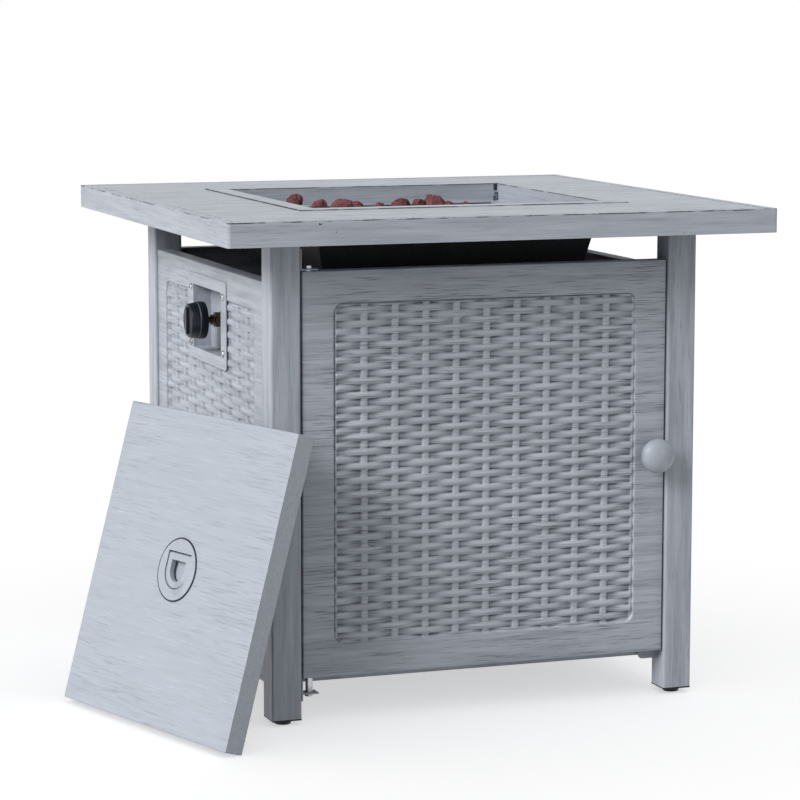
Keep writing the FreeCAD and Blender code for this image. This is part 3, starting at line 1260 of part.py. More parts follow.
def make_lid():
    where = lid_placement()
    body = folded_tray("lid_body", S.lid_width, S.lid_length, S.lid_depth, S.lid_sheet, S.lid_return, S.lid_corner)
    hole = plane_sketch(body, "lid_cup_hole")
    add_circle(hole, S.cup_radius + S.cup_clearance)
    pocket(body, hole, 2 * S.lid_sheet)
    body.Placement = where
    piece("lid_panel", body)

    grip_y = S.grip_pivot
    pocket_half = S.grip_radius + S.grip_gap
    pocket_depth = S.grip_thickness + S.grip_swing
    lift = S.cup_flange_height
    bowl = fuse("cup_blank", [cylinder("cup_wall", S.cup_radius, S.cup_depth, (0, 0, -S.cup_depth)),
                              cylinder("cup_rim", S.cup_flange, lift, (0, 0, 0))])
    hollow = [cylinder("cup_round", pocket_half, pocket_depth + lift, (0, 0, -pocket_depth)),
              box("cup_square", (2 * pocket_half, grip_y + S.grip_thickness / 2 + S.grip_gap, pocket_depth + lift),
                  (-pocket_half, 0, -pocket_depth)),
              cylinder("cup_pin_bore", S.grip_pin_radius + 0.02, 2 * S.cup_radius,
                       (-S.cup_radius, grip_y, -S.grip_thickness / 2), ALONG_X)]
    cup = cut("handle_cup_cut", bowl, hollow)
    cup.Placement = where
    piece("handle_cup", cup)

    flat = fuse("grip_blank", [
        cylinder("grip_round", S.grip_radius, S.grip_thickness, (0, 0, -S.grip_thickness)),
        box("grip_square", (2 * S.grip_radius, grip_y, S.grip_thickness), (-S.grip_radius, 0, -S.grip_thickness)),
        cylinder("grip_bar", S.grip_thickness / 2, 2 * S.grip_radius,
                 (-S.grip_radius, grip_y, -S.grip_thickness / 2), ALONG_X)])
    finger = [cylinder("grip_finger_round", S.grip_hole, 3 * S.grip_thickness, (0, 0, -2 * S.grip_thickness)),
              box("grip_finger_square", (2 * S.grip_hole, grip_y - S.grip_thickness, 3 * S.grip_thickness),
                  (-S.grip_hole, 0, -2 * S.grip_thickness)),
              cylinder("grip_pin_bore", S.grip_pin_radius + S.grip_pin_clearance, 2 * S.cup_flange,
                       (-S.cup_flange, grip_y, -S.grip_thickness / 2), ALONG_X)]
    grip = cut("handle_ring_cut", flat, finger)
    grip.Placement = where
    piece("handle_ring", grip)

    pin = group("handle_pin_rod", [cylinder("handle_pin_shaft", S.grip_pin_radius, 2 * S.cup_radius - 16,
                                            (-(S.cup_radius - 8), grip_y, -S.grip_thickness / 2), ALONG_X)])
    pin.Placement = where
    piece("handle_pin", pin)


# Igniter and lava rock


def make_igniter():
    x, y, sheet_wall = S.igniter_x, -S.igniter_y, S.pan_sheet
    side = S.igniter_bracket
    tab_z = pan_floor + S.igniter_tab
    parts = [box("igniter_foot", (side, side, sheet_wall), (x - side / 2, y - side / 2, pan_floor)),
             box("igniter_upright", (side, sheet_wall, S.igniter_tab + sheet_wall),
                 (x - side / 2, y + side / 2 - sheet_wall, pan_floor)),
             box("igniter_tab", (side, side, sheet_wall), (x - side / 2, y - side / 2, tab_z))]
    hole = cylinder("igniter_tab_hole", S.igniter_radius, 4 * sheet_wall, (x, y - sheet_wall, tab_z - sheet_wall))
    piece("igniter_bracket", cut("igniter_bracket_cut", fuse("igniter_bracket_bent", parts), [hole]))
    low = pan_floor + S.igniter_lift
    piece("igniter_electrode", fuse("igniter_rod", [
        cylinder("igniter_ceramic", S.igniter_radius, S.igniter_ceramic, (x, y - sheet_wall, low)),
        cylinder("igniter_tip", 1, S.igniter_tip, (x, y - sheet_wall, low + S.igniter_ceramic))]))


GOLDEN = (1 + math.sqrt(5)) / 2
SIGNS = ((1, 1), (1, -1), (-1, 1), (-1, -1))
ROCK_CORNERS = [Vector(*corner).normalize() for a, b in SIGNS
                for corner in ((0, a, b * GOLDEN), (a, b * GOLDEN, 0), (b * GOLDEN, 0, a))]
ROCK_EDGE = 1.2 * min((ROCK_CORNERS[0] - other).Length for other in ROCK_CORNERS[1:])


def touching(*corners):
    return all((ROCK_CORNERS[a] - ROCK_CORNERS[b]).Length < ROCK_EDGE for a in corners for b in corners)


ROCK_FACES = [(i, j, k) for i in range(12) for j in range(i) for k in range(j) if touching(i, j, k)]


def rock_solid(centre, radius, draw):
    """Twenty-sided stone inside a sphere, turned, stretched and dented at random."""
    turn = Rotation(Vector(draw.uniform(-1, 1), draw.uniform(-1, 1), draw.uniform(-1, 1)), draw.uniform(0, 360))
    stretch = [draw.uniform(0.88, 1.0) for axis in range(3)]
    points = []
    for corner in ROCK_CORNERS:
        arm = turn.multVec(corner) * radius * draw.uniform(0.86, 1.0)
        points.append(centre + Vector(*[a * b for a, b in zip(arm, stretch)]))
    return closed_solid([Part.Face(Part.makePolygon([points[i], points[j], points[k], points[i]]))
                         for i, j, k in ROCK_FACES])


def resting_height(x, y, radius, placed):
    """Lowest centre for a sphere at (x, y) that clears the pan, the burner and the stones below."""
    floor, ring_height = float(pan_floor), float(pan_floor + S.burner_rise)
    ring = float(S.burner_ring)
    bar = math.hypot(float(S.burner_bar), float(S.burner_bar_height)) / 2
    height = floor + radius
    off_ring = abs(math.hypot(x, y) - ring)
    if off_ring < radius + bar:
        height = max(height, ring_height + math.sqrt((radius + bar) ** 2 - off_ring ** 2))
    if abs(x) < ring and abs(y) < radius + bar:
        height = max(height, ring_height + math.sqrt((radius + bar) ** 2 - y * y))
    if math.hypot(x, y) < radius + float(S.hub_radius):
        height = max(height, ring_height + bar + radius)
    if math.hypot(x - float(S.igniter_x), y + float(S.igniter_y)) < radius + float(S.igniter_bracket):
        height = max(height, floor + float(S.igniter_lift + S.igniter_ceramic + S.igniter_tip) + radius)
    for px, py, pz, pr in placed:
        flat = math.hypot(x - px, y - py)
        if flat < radius + pr:
            height = max(height, pz + math.sqrt((radius + pr) ** 2 - flat ** 2))
    return height


def make_lava_rocks():
    """Stones dropped one by one into the lowest of many places until the bed reaches its level."""
    draw = random.Random(7)
    half_x = float(pan_length / 2 - S.pan_taper - S.pan_sheet)
    half_y = float(pan_width / 2 - S.pan_taper - S.pan_sheet)
    biggest, gap = float(S.rock_radius), float(S.rock_gap)
    placed = []
    misses = 0
    while misses < 12:
        radius = biggest * draw.uniform(0.75, 1.0)
        choices = []
        for attempt in range(150):
            x = draw.uniform(radius - half_x, half_x - radius)
            y = draw.uniform(radius - half_y, half_y - radius)
            choices.append((resting_height(x, y, radius, placed), x, y))
        height, x, y = min(choices)
        if height + radius > float(rock_level):
            misses += 1
        else:
            placed.append((x, y, height, radius))
    x, y, radius = -float(S.high_rock_x), float(S.high_rock_y), float(S.high_rock_radius)
    placed.append((x, y, resting_height(x, y, radius, placed), radius))
    stones = [rock_solid(Vector(x, y, z), radius - gap, draw) for x, y, z, radius in placed]
    print("lava rocks:", len(stones), "highest:", placed[-1])
    piece("lava_rocks", shaped("lava_rock_bed", Part.makeCompound(stones)))


# Run the makers

make_tabletop()
make_opening_frame()
make_burner_pan()
make_pan_screws()
make_burner()
make_air_mixer()
make_feed_tube()
make_control_plate()
make_plate_screws()
make_valve()
make_valve_stem()
make_stem_spring()
make_control_knob()
make_legs()
make_foot_glides()
make_panels()
make_panel_bolts()
make_door()
make_door_knob()
make_hinges()
make_stop_and_catch()
make_tank_tray()
make_corner_brackets()
make_lid()
make_igniter()
make_lava_rocks()

doc.recompute()
failed = [o.Name for o in doc.Objects if "Invalid" in o.State or "Error" in o.State]
if failed:
    raise RuntimeError("these objects failed: " + ", ".join(failed))
os.makedirs("parts", exist_ok=True)
for label, obj in PIECES.items():
    if obj.Shape.isNull() or not obj.Shape.isValid():
        raise RuntimeError("bad shape: " + label)
    obj.Shape.exportStep(f"parts/{label}.step")
    bounds = obj.Shape.BoundBox
    print(label, len(obj.Shape.Solids), [round(v, 1) for v in (bounds.XMin, bounds.YMin, bounds.ZMin, bounds.XMax,
                                                              bounds.YMax, bounds.ZMax)])
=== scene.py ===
"""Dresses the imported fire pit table: woven panels, rubbed paint, lava rock, knobs and lid.

Lengths in the panels, constants and profiles below are in millimetres; Blender's own are in metres.
"""
import json
import math
import random

import bpy
import numpy
from mathutils import Matrix, Quaternion, Vector, noise


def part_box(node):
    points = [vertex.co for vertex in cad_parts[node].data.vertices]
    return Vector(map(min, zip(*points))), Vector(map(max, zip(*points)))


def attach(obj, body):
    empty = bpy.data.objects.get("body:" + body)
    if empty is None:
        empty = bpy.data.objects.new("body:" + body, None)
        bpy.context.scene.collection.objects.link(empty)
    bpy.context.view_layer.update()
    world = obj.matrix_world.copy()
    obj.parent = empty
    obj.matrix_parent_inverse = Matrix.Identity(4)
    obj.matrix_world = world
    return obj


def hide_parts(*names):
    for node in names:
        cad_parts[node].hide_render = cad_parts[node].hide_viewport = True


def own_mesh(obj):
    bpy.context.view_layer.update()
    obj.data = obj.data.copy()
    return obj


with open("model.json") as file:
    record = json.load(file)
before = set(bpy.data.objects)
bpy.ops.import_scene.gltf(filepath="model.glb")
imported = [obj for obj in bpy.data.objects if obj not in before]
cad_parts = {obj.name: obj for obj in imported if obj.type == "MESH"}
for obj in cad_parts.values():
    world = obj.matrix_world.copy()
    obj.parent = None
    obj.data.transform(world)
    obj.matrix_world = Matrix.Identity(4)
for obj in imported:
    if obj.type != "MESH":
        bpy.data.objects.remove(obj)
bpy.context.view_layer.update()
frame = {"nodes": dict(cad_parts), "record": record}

bl_info = {
    "name": "Fire pit table",
    "version": (1, 0, 0),
    "blender": (4, 5, 0),
    "location": "3D View > Sidebar > Fire table",
    "description": "Woven-pattern steel fire pit table with its lid leaning on one leg",
    "category": "Object",
}

MM = 0.001
FINISH = {}


def colour(text):
    """Linear RGBA of an sRGB hex colour."""
    parts = [int(text[i:i + 2], 16) / 255 for i in (0, 2, 4)]
    linear = [p / 12.92 if p <= 0.04045 else ((p + 0.055) / 1.055) ** 2.4 for p in parts]
    return (*linear, 1.0)


# Sizes and colours


class FireTableSizes(bpy.types.PropertyGroup):
    stake_pitch: bpy.props.FloatProperty(
        name="Stake pitch", default=40, min=10,
        description="Distance between two upright stakes of the weave, mm")
    strand_pitch: bpy.props.FloatProperty(
        name="Strand pitch", default=8.75, min=2, description="Distance between two neighbouring strands, mm")
    strand_width: bpy.props.FloatProperty(
        name="Strand width", default=9.0, min=2, description="Height of one strand as pressed, mm")
    strand_crown: bpy.props.FloatProperty(
        name="Strand crown", default=1.8, min=0,
        description="How far a strand's middle stands over its edges, mm")
    strand_swing: bpy.props.FloatProperty(
        name="Strand swing", default=2.0, min=0,
        description="How far a strand swings in front of and behind the stakes, mm")
    stake_width: bpy.props.FloatProperty(
        name="Stake width", default=9.0, min=1, description="Width of an upright stake, mm")
    stake_front: bpy.props.FloatProperty(
        name="Stake front", default=2.0, description="Front of a stake before the middle of the weave, mm")
    field_corner: bpy.props.FloatProperty(
        name="Field corner", default=13, min=0, description="Corner radius of the woven field, mm")
    fold_radius: bpy.props.FloatProperty(
        name="Fold radius", default=1.3, min=0.1, description="Radius of the folded sheet edges, mm")
    edge_round: bpy.props.FloatProperty(
        name="Edge rounding", default=0.5, min=0.05, description="Rounding of the painted edges, mm")


TINT = {"subtype": "COLOR", "size": 4, "min": 0, "max": 1}


class FireTableColours(bpy.types.PropertyGroup):
    paint: bpy.props.FloatVectorProperty(
        name="Paint", description="Pale coat of the rubbed paint", default=colour("A5ABB5"), **TINT)
    streak: bpy.props.FloatVectorProperty(
        name="Streaks", description="Dark coat that shows in the streaks", default=colour("4A5158"), **TINT)
    wear: bpy.props.FloatVectorProperty(
        name="Wear", description="Dark flecks along worn edges", default=colour("24282C"), **TINT)
    rock: bpy.props.FloatVectorProperty(
        name="Lava rock", description="Main colour of the lava rock", default=colour("532C30"), **TINT)
    plastic: bpy.props.FloatVectorProperty(
        name="Knob", description="Colour of the gas knob", default=colour("0A121C"), **TINT)


# Shader building

# A smooth step takes its value at input 0, the levels it starts and ends at in 1 and 2, and what it
# gives there in 3 and 4. A colour mix takes its share at input 0 and its two colours at 6 and 7.

SMOOTH = {"interpolation_type": "SMOOTHSTEP"}
COLOURS = {"output": 2, "data_type": "RGBA"}


def add_node(tree, kind, inputs=None, output=0, **options):
    """Add a shader node, set its options, set or link its inputs, and give back one of its outputs."""
    node = tree.nodes.new("ShaderNode" + kind)
    for name, value in options.items():
        setattr(node, name, value)
    for name, value in (inputs or {}).items():
        if isinstance(value, bpy.types.NodeSocket):
            tree.links.new(value, node.inputs[name])
        else:
            node.inputs[name].default_value = value
    return node.outputs[output] if len(node.outputs) else None


def new_material(name):
    """New material, its empty tree, and the object coordinates that its patterns are laid in."""
    material = bpy.data.materials.new(name)
    material.use_nodes = True
    tree = material.node_tree
    tree.nodes.clear()
    return material, tree, add_node(tree, "TexCoord", output="Object")


def surface(material, base, polish, relief=None, settings=None):
    """Give a material its Principled shader.

    polish is a roughness, or a value with two levels of it and the roughness at each. relief is a height
    with the strength and the depth of its bumps.
    """
    tree = material.node_tree
    if isinstance(polish, tuple):
        polish = add_node(tree, "MapRange", dict(enumerate(polish)), **SMOOTH)
    inputs = {"Base Color": base, "Roughness": polish, **(settings or {})}
    if relief:
        height, strength, depth = relief
        inputs["Normal"] = add_node(tree, "Bump", {"Height": height, "Strength": strength,
                                                   "Distance": depth * MM})
    add_node(tree, "OutputMaterial", {"Surface": add_node(tree, "BsdfPrincipled", inputs)})
    return material


def spots(where, size, detail, roughness=0.5):
    """Inputs of a noise that has spots of this size."""
    return {"Vector": where, "Scale": 1 / (size * MM), "Detail": detail, "Roughness": roughness}


def combine(tree, operation, *values):
    """One value out of several: their sum, difference, product or largest."""
    result = values[0]
    for value in values[1:]:
        result = add_node(tree, "Math", {0: result, 1: value}, operation=operation)
    return result


def tint(tree, base, other, value, low, high, share=1.0):
    """Blend another colour in, up to a share, as a value passes from one level to the next."""
    amount = add_node(tree, "MapRange", {0: value, 1: low, 2: high, 4: share}, **SMOOTH)
    return add_node(tree, "Mix", {0: amount, 6: base, 7: other}, **COLOURS)


def stretched(tree, where, turn, long_axes, length, width):
    """Coordinates that count in marks of this length along some axes and this width across them."""
    if turn is not None:
        where = add_node(tree, "Mapping", {"Rotation": turn, "Vector": where})
    scale = [1 / ((length if axis in long_axes else width) * MM) for axis in "XYZ"]
    return add_node(tree, "Mapping", {"Scale": scale, "Vector": where})


def near(tree, where, axis, place, reach, both=False):
    """1 within reach of the plane where one coordinate has this value, on both sides of 0 if asked."""
    value = add_node(tree, "SeparateXYZ", {0: where}, axis)
    if both:
        value = add_node(tree, "Math", {0: value}, operation="ABSOLUTE")
    value = combine(tree, "SUBTRACT", value, place * MM)
    value = add_node(tree, "Math", {0: value}, operation="ABSOLUTE")
    return add_node(tree, "MapRange", {0: value, 1: reach * 1.3 * MM, 2: reach * 0.7 * MM}, **SMOOTH)


def broken(tree, where, size, low, high):
    """Patchy mask: soft spots of this size that are 1 inside."""
    mask = add_node(tree, "TexNoise", spots(where, size, 3, 0.6))
    return add_node(tree, "MapRange", {0: mask, 1: low, 2: high}, **SMOOTH)


# Where the dark coat lies bare: how far the pressed line is from the middle, how high the upper edges of
# rim and well are, and where the weld in the well is.
BORDER_LINE, RIM_EDGE, WELL_EDGE = 342.5, 624.2, 626.2
WELD_X, WELD_Y = 194, 182


def border_marks(tree, where):
    """Tabletop: dark coat left in the pressed line near the edge, most on the right and at the back."""
    masks = []
    for both, size, low, high in ((False, 50, 0.36, 0.44), (True, 30, 0.56, 0.64)):
        line = combine(tree, "MAXIMUM", *(near(tree, where, axis, BORDER_LINE, 2.6, both) for axis in "XY"))
        masks.append(combine(tree, "MULTIPLY", line, broken(tree, where, size, low, high)))
    return combine(tree, "MULTIPLY", combine(tree, "MAXIMUM", *masks), 0.85)


def rim_marks(tree, where):
    """Rim: paint knocked off the upper edge in short dashes, and a few specks."""
    edge = combine(tree, "MULTIPLY", near(tree, where, "Z", RIM_EDGE, 1.7),
                   broken(tree, where, 35, 0.44, 0.58))
    return combine(tree, "MAXIMUM", edge, broken(tree, where, 11, 0.735, 0.76))


def fold_marks(tree, where):
    """Rolled edge of the lid: the pale coat is thin there, so the dark one shines through."""
    return combine(tree, "MULTIPLY", broken(tree, where, 50, 0.15, 0.6), 0.5)


def well_marks(tree, where):
    """Opening frame: dark line along the top edge of the well, and a burnt weld in its back right corner."""
    edge = combine(tree, "MULTIPLY", near(tree, where, "Z", WELL_EDGE, 1.9),
                   broken(tree, where, 50, 0.4, 0.5), 0.8)
    weld = combine(tree, "MULTIPLY", near(tree, where, "X", WELD_X, 5), near(tree, where, "Y", WELD_Y, 6),
                   broken(tree, where, 6, 0.4, 0.55))
    return combine(tree, "MAXIMUM", edge, weld)


def rubbed_paint(name, long_axes, turn=None, wear=0.0, recess_shade=0.0, streaks=0.5, marks=None, bands=0.22):
    """Rubbed antique paint on steel: a pale coat brushed over a dark one, sprayed clear on top.

    The brush leaves streaks of 1.5 by 42 mm and soft bands of 9 by 150 mm. They run along long_axes, and
    turn takes the table's axes to the piece's own. streaks and bands say how dark the streaks and the bands
    are, and the recess share how dark the painted shade in the sunk parts of the weave is and how pale its
    rubbed crests with their painted highlight are. wear says how much of the paint is flecked, and marks
    draws the places where the dark coat lies bare.
    """
    paints = bpy.context.scene.fire_table_colours
    pale_coat, dark_coat, bare_coat = list(paints.paint), list(paints.streak), list(paints.wear)
    material, tree, where = new_material(name)
    streak = add_node(tree, "TexNoise", {"Scale": 1.0, "Detail": 3.0, "Roughness": 0.6,
                                         "Vector": stretched(tree, where, turn, long_axes, 42, 1.5)})
    broad = add_node(tree, "TexNoise", {"Scale": 1.0, "Detail": 2.0, "Roughness": 0.5,
                                        "Vector": stretched(tree, where, turn, long_axes, 150, 9)})
    patch = add_node(tree, "TexNoise", spots(where, 120, 2))
    dark = add_node(tree, "MapRange", {0: streak, 1: 0.53, 2: 0.68, 4: streaks}, **SMOOTH)
    gate = add_node(tree, "MapRange", {0: patch, 1: 0.35, 2: 0.62, 3: 0.35}, **SMOOTH)
    base = add_node(tree, "Mix", {0: combine(tree, "MULTIPLY", dark, gate), 6: pale_coat, 7: dark_coat},
                    **COLOURS)
    base = tint(tree, base, dark_coat, broad, 0.3, 0.75, bands)
    base = tint(tree, base, colour("C6CBD3"), streak, 0.42, 0.26, 0.35)
    # On the weave: a painted highlight with rubbed pale paint on the crests, and painted shade in the
    # recesses.
    if recess_shade:
        rubbed_crest_highlight = add_node(tree, "Attribute", output="Fac", attribute_name="rubbed_crest_highlight")
        base = tint(tree, base, colour("D2D7DE"), rubbed_crest_highlight, 0.0, 1.0, 0.45 * recess_shade)
        sunk = add_node(tree, "Attribute", output="Fac", attribute_name="recess_shade")
        base = tint(tree, base, colour("343B42"), sunk, 0.3, 0.95, recess_shade)
    if wear:
        flecks = add_node(tree, "TexNoise", spots(where, 5, 3, 0.7))
        base = tint(tree, base, bare_coat, flecks, 0.66 - 0.25 * wear, 0.72 - 0.25 * wear)
    if marks is not None:
        base = add_node(tree, "Mix", {0: marks(tree, where), 6: base, 7: bare_coat}, **COLOURS)
    return surface(material, base, (streak, 0.2, 0.8, 0.38, 0.55), (streak, 0.35, 0.25),
                   {"Specular IOR Level": 0.4})


def powder_black(name):
    """Heat-proof black paint: matt, with a fine grain of 0.8 mm drawn at 2 mm so that it shows."""
    material, tree, where = new_material(name)
    grain = add_node(tree, "TexNoise", spots(where, 2, 3))
    haze = add_node(tree, "TexNoise", spots(where, 70, 3))
    base = tint(tree, colour("0B0D0F"), colour("1D2023"), haze, 0.35, 0.75)
    return surface(material, base, (grain, 0.3, 0.7, 0.55, 0.75), (grain, 0.3, 0.3))


def moulded_plastic(name, base):
    """Moulded nylon: satin, with the fine texture of an eroded mould, 1 mm drawn at 1.5 mm.

    The printed ink and the dark bead of painted shadow round the handle cup have the same soft sheen and a
    thin film of dust.
    """
    material, tree, where = new_material(name)
    grain = add_node(tree, "TexNoise", spots(where, 1.5, 2))
    dust = add_node(tree, "TexNoise", spots(where, 20, 4))
    base = tint(tree, base, colour("1C2127"), dust, 0.45, 0.8, 0.5)
    return surface(material, base, (dust, 0.3, 0.7, 0.32, 0.46), (grain, 0.15, 0.2),
                   {"Specular IOR Level": 0.22})


def plated_metal(name, base, tarnish, polish, spot=12):
    """Bare or plated metal: zinc-plated steel or brass, with soft dull patches and fine turning marks."""
    material, tree, where = new_material(name)
    patch = add_node(tree, "TexNoise", spots(where, spot, 4))
    fine = add_node(tree, "TexNoise", spots(where, 0.9, 2))
    base = tint(tree, base, tarnish, patch, 0.4, 0.75, 0.8)
    return surface(material, base, (patch, 0.3, 0.8, polish, polish + 0.2), (fine, 0.12, 0.1),
                   {"Metallic": 1.0})


def glazed_ceramic(name):
    """Glazed alumina of the igniter: off-white, glossy, a little soot."""
    material, tree, where = new_material(name)
    soot = add_node(tree, "TexNoise", spots(where, 8, 4))
    base = tint(tree, colour("E9E4D8"), colour("8C857A"), soot, 0.55, 0.8)
    return surface(material, base, (soot, 0.4, 0.8, 0.18, 0.5))


def lava_rock(name):
    """Scoria: red-brown volcanic rock, dull, full of gas holes 1 to 4 mm wide."""
    material, tree, where = new_material(name)
    tone = add_node(tree, "TexNoise", spots(where, 25, 5))
    holes = add_node(tree, "TexVoronoi", {"Scale": 1 / (4 * MM), "Vector": where}, "Distance", feature="F1")
    grit = add_node(tree, "TexNoise", spots(where, 1.6, 4))
    base = list(bpy.context.scene.fire_table_colours.rock)
    base = tint(tree, base, colour("744548"), tone, 0.35, 0.7)
    base = tint(tree, base, colour("9A7572"), grit, 0.5, 0.75, 0.5)
    # Dark spots at the gas holes: painted shade inside holes that are only bumps.
    base = tint(tree, base, colour("1E1012"), holes, 0.36, 0.12, 0.85)
    height = combine(tree, "ADD", holes, grit)
    return surface(material, base, 0.85, (height, 0.8, 1.2), {"Specular IOR Level": 0.3})


def finishes():
    """All materials, made once and kept by name."""
    if FINISH:
        return FINISH
    paints = bpy.context.scene.fire_table_colours
    lid_turn = lid_matrix().to_3x3().transposed().to_euler()
    FINISH.update({
        "top": rubbed_paint("Rubbed paint across", "X", streaks=0.8, bands=0.3, marks=border_marks),
        "flange": rubbed_paint("Rubbed paint on the flange", "X", streaks=0.8, bands=0.3),
        "rim": rubbed_paint("Rubbed paint on rims", "XY", streaks=0.28, marks=rim_marks),
        "well": rubbed_paint("Rubbed paint in the well", "XY", streaks=0.4, marks=well_marks),
        "fold": rubbed_paint("Dark coat on a fold", "XYZ", streaks=0.3, marks=fold_marks),
        "seam": rubbed_paint("Dark coat at a seam", "XYZ", wear=1.2, streaks=0.8),
        "plate": rubbed_paint("Rubbed paint on the plate", "Y", streaks=0.3),
        "upright": rubbed_paint("Rubbed paint upright", "Z", streaks=0.4, bands=0.34),
        "edge": rubbed_paint("Rubbed paint on worn edges", "XYZ", wear=0.5, streaks=0.2),
        # The weave paints shade into its recesses and highlights on its crests; the left panel, which faces
        # the key lamp, gets less of both.
        "weave": rubbed_paint("Rubbed paint on weave with painted shade and highlights", "XY", recess_shade=0.62, streaks=0.7, bands=0.32),
        "weave with less painted shade": rubbed_paint("Rubbed paint on the left weave with less painted shade", "XY", recess_shade=0.26, streaks=0.4,
                                   bands=0.36),
        "plain": rubbed_paint("Sprayed paint", "XYZ", streaks=0.25),
        "lid": rubbed_paint("Rubbed paint on lid", "X", turn=lid_turn, streaks=0.33, bands=0.08),
        "black": powder_black("Heat-proof black paint"),
        "plastic": moulded_plastic("Black nylon", list(paints.plastic)),
        "ring": moulded_plastic("Pale marking ink", colour("8B9299")),
        # Dark bead of painted shadow round the flange of the handle cup.
        "shadow bead": moulded_plastic("Dark bead of painted shadow", colour("23272C")),
        "steel": plated_metal("Zinc-plated steel", colour("A9ABAE"), colour("6E7073"), 0.3),
        "burnt": plated_metal("Heat-stained stainless steel", colour("A9A49C"), colour("5F5750"), 0.38, 30),
        "brass": plated_metal("Dull brass", colour("6F6244"), colour("2C2A24"), 0.42),
        "ceramic": glazed_ceramic("Glazed ceramic"),
        "rock": lava_rock("Red lava rock"),
    })
    return FINISH


# Mesh helpers


def lid_matrix():
    """Place of the lid's face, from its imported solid: X across, Y up the slope and Z out of the face."""
    mesh = frame["nodes"]["lid_panel"].data
    areas = {}
    for face in mesh.polygons:
        key = tuple(round(c, 3) for c in face.normal)
        areas[key] = areas.get(key, 0.0) + face.area
    normal = Vector(max((key for key in areas if 0.1 < key[2] < 0.6), key=areas.get)).normalized()
    across = normal.cross(Vector((0, 0, -1))).normalized()
    slope = normal.cross(across)
    points = [v.co for v in mesh.vertices]
    middle = Vector()
    for axis in (across, slope):
        spread = [p.dot(axis) for p in points]
        middle += axis * (min(spread) + max(spread)) / 2
    middle += normal * max(p.dot(normal) for p in points)
    return Matrix.Translation(middle) @ Matrix((across, slope, normal)).transposed().to_4x4()


def select_only(*objects):
    """Select these objects alone and make the first one active."""
    bpy.ops.object.select_all(action="DESELECT")
    for obj in objects:
        obj.select_set(True)
    bpy.context.view_layer.objects.active = objects[0]


def join(*objects):
    """Join objects into the first one."""
    select_only(*objects)
    bpy.ops.object.join()


def start_edit(obj, kind="VERT", chosen="SELECT"):
    """Enter edit mode with everything selected, or nothing, or what is selected already."""
    select_only(obj)
    bpy.ops.object.mode_set(mode="EDIT")
    bpy.ops.mesh.select_mode(type=kind)
    if chosen:
        bpy.ops.mesh.select_all(action=chosen)


def end_edit(outwards=False):
    """Leave edit mode, with all faces turned outwards if asked."""
    if outwards:
        bpy.ops.mesh.select_all(action="SELECT")
        bpy.ops.mesh.normals_make_consistent(inside=False)
    bpy.ops.object.mode_set(mode="OBJECT")


def edit_edges(obj, test):
    """Enter edit mode with only those edges selected whose two ends pass a test."""
    start_edit(obj, chosen="DESELECT")
    end_edit()
    for edge in obj.data.edges:
        first, second = (obj.data.vertices[i].co for i in edge.vertices)
        edge.select = test(first, second)
    start_edit(obj, "EDGE", None)


def named(name, obj=None):
    """Name the active object, or a given one, and its mesh."""
    obj = obj or bpy.context.active_object
    obj.name = name
    obj.data.name = name
    return obj


def add_shape(primitive, name, **settings):
    """Add a shape with one of Blender's primitive operators, and move its place into its mesh."""
    bpy.ops.object.select_all(action="DESELECT")
    primitive(**settings)
    obj = named(name)
    select_only(obj)
    bpy.ops.object.transform_apply(location=True, rotation=True, scale=True)
    return obj


def apply_modifier(obj, kind, **settings):
    """Add a modifier, set it and apply it."""
    modifier = obj.modifiers.new(kind.title(), kind)
    for name, value in settings.items():
        setattr(modifier, name, value)
    select_only(obj)
    bpy.ops.object.modifier_apply(modifier=modifier.name)


def cut_away(obj, cutter):
    """Cut one closed shape out of another and remove it."""
    apply_modifier(obj, "BOOLEAN", operation="DIFFERENCE", solver="EXACT", object=cutter)
    bpy.data.objects.remove(cutter)


def smooth(obj, degrees=35):
    select_only(obj)
    bpy.ops.object.shade_smooth_by_angle(angle=math.radians(degrees))


def soften(obj, width, **settings):
    """Round the sharp edges, and shade smooth with the flat faces kept flat."""
    apply_modifier(obj, "BEVEL", width=width, segments=2, limit_method="ANGLE",
                   angle_limit=math.radians(40), **settings)
    smooth(obj)
    apply_modifier(obj, "WEIGHTED_NORMAL", keep_sharp=True)


def finish_piece(obj, body, slot, *nodes):
    """Say what a finished piece rides on and hide the solids it stands for. slot is not used."""
    if nodes:
        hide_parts(*nodes)
    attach(obj, body)
    return obj


def set_materials(obj, *names):
    obj.data.materials.clear()
    for name in names:
        obj.data.materials.append(finishes()[name])


def copy_of(node, name):
    """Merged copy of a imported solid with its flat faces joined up."""
    obj = bpy.data.objects.new(name, frame["nodes"][node].data.copy())
    bpy.context.scene.collection.objects.link(obj)
    obj.data.name = name
    select_only(obj)
    if obj.data.has_custom_normals:
        bpy.ops.mesh.customdata_custom_splitnormals_clear()
    start_edit(obj)
    bpy.ops.mesh.remove_doubles(threshold=0.02 * MM)
    bpy.ops.mesh.dissolve_limited(angle_limit=math.radians(0.5))
    end_edit()
    return obj


def painted(node, flat="plain", upright="plain", edge="edge", rounding=1.0, body="frame", name=None,
            up=Vector((0, 0, 1))):
    """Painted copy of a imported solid, with rounded and worn edges.

    Faces that look along up get the flat finish and the others the upright one. rounding is a share of the
    common edge rounding.
    """
    obj = copy_of(node, name or node + "_painted")
    set_materials(obj, flat, upright, edge)
    for face in obj.data.polygons:
        face.material_index = 0 if abs(face.normal.dot(up)) > 0.7 else 1
    soften(obj, bpy.context.scene.fire_table_sizes.edge_round * MM * rounding, material=2)
    return finish_piece(obj, body, "grey_paint", node)


# Woven panels

# Each panel's body, and how far it is turned from facing the front.
PANELS = {
    "door_panel": ("door", 0),
    "panel_left": ("frame", -90),
    "panel_right": ("frame", 90),
    "panel_rear": ("frame", 180),
}
STAKES, STRANDS = 10, 48
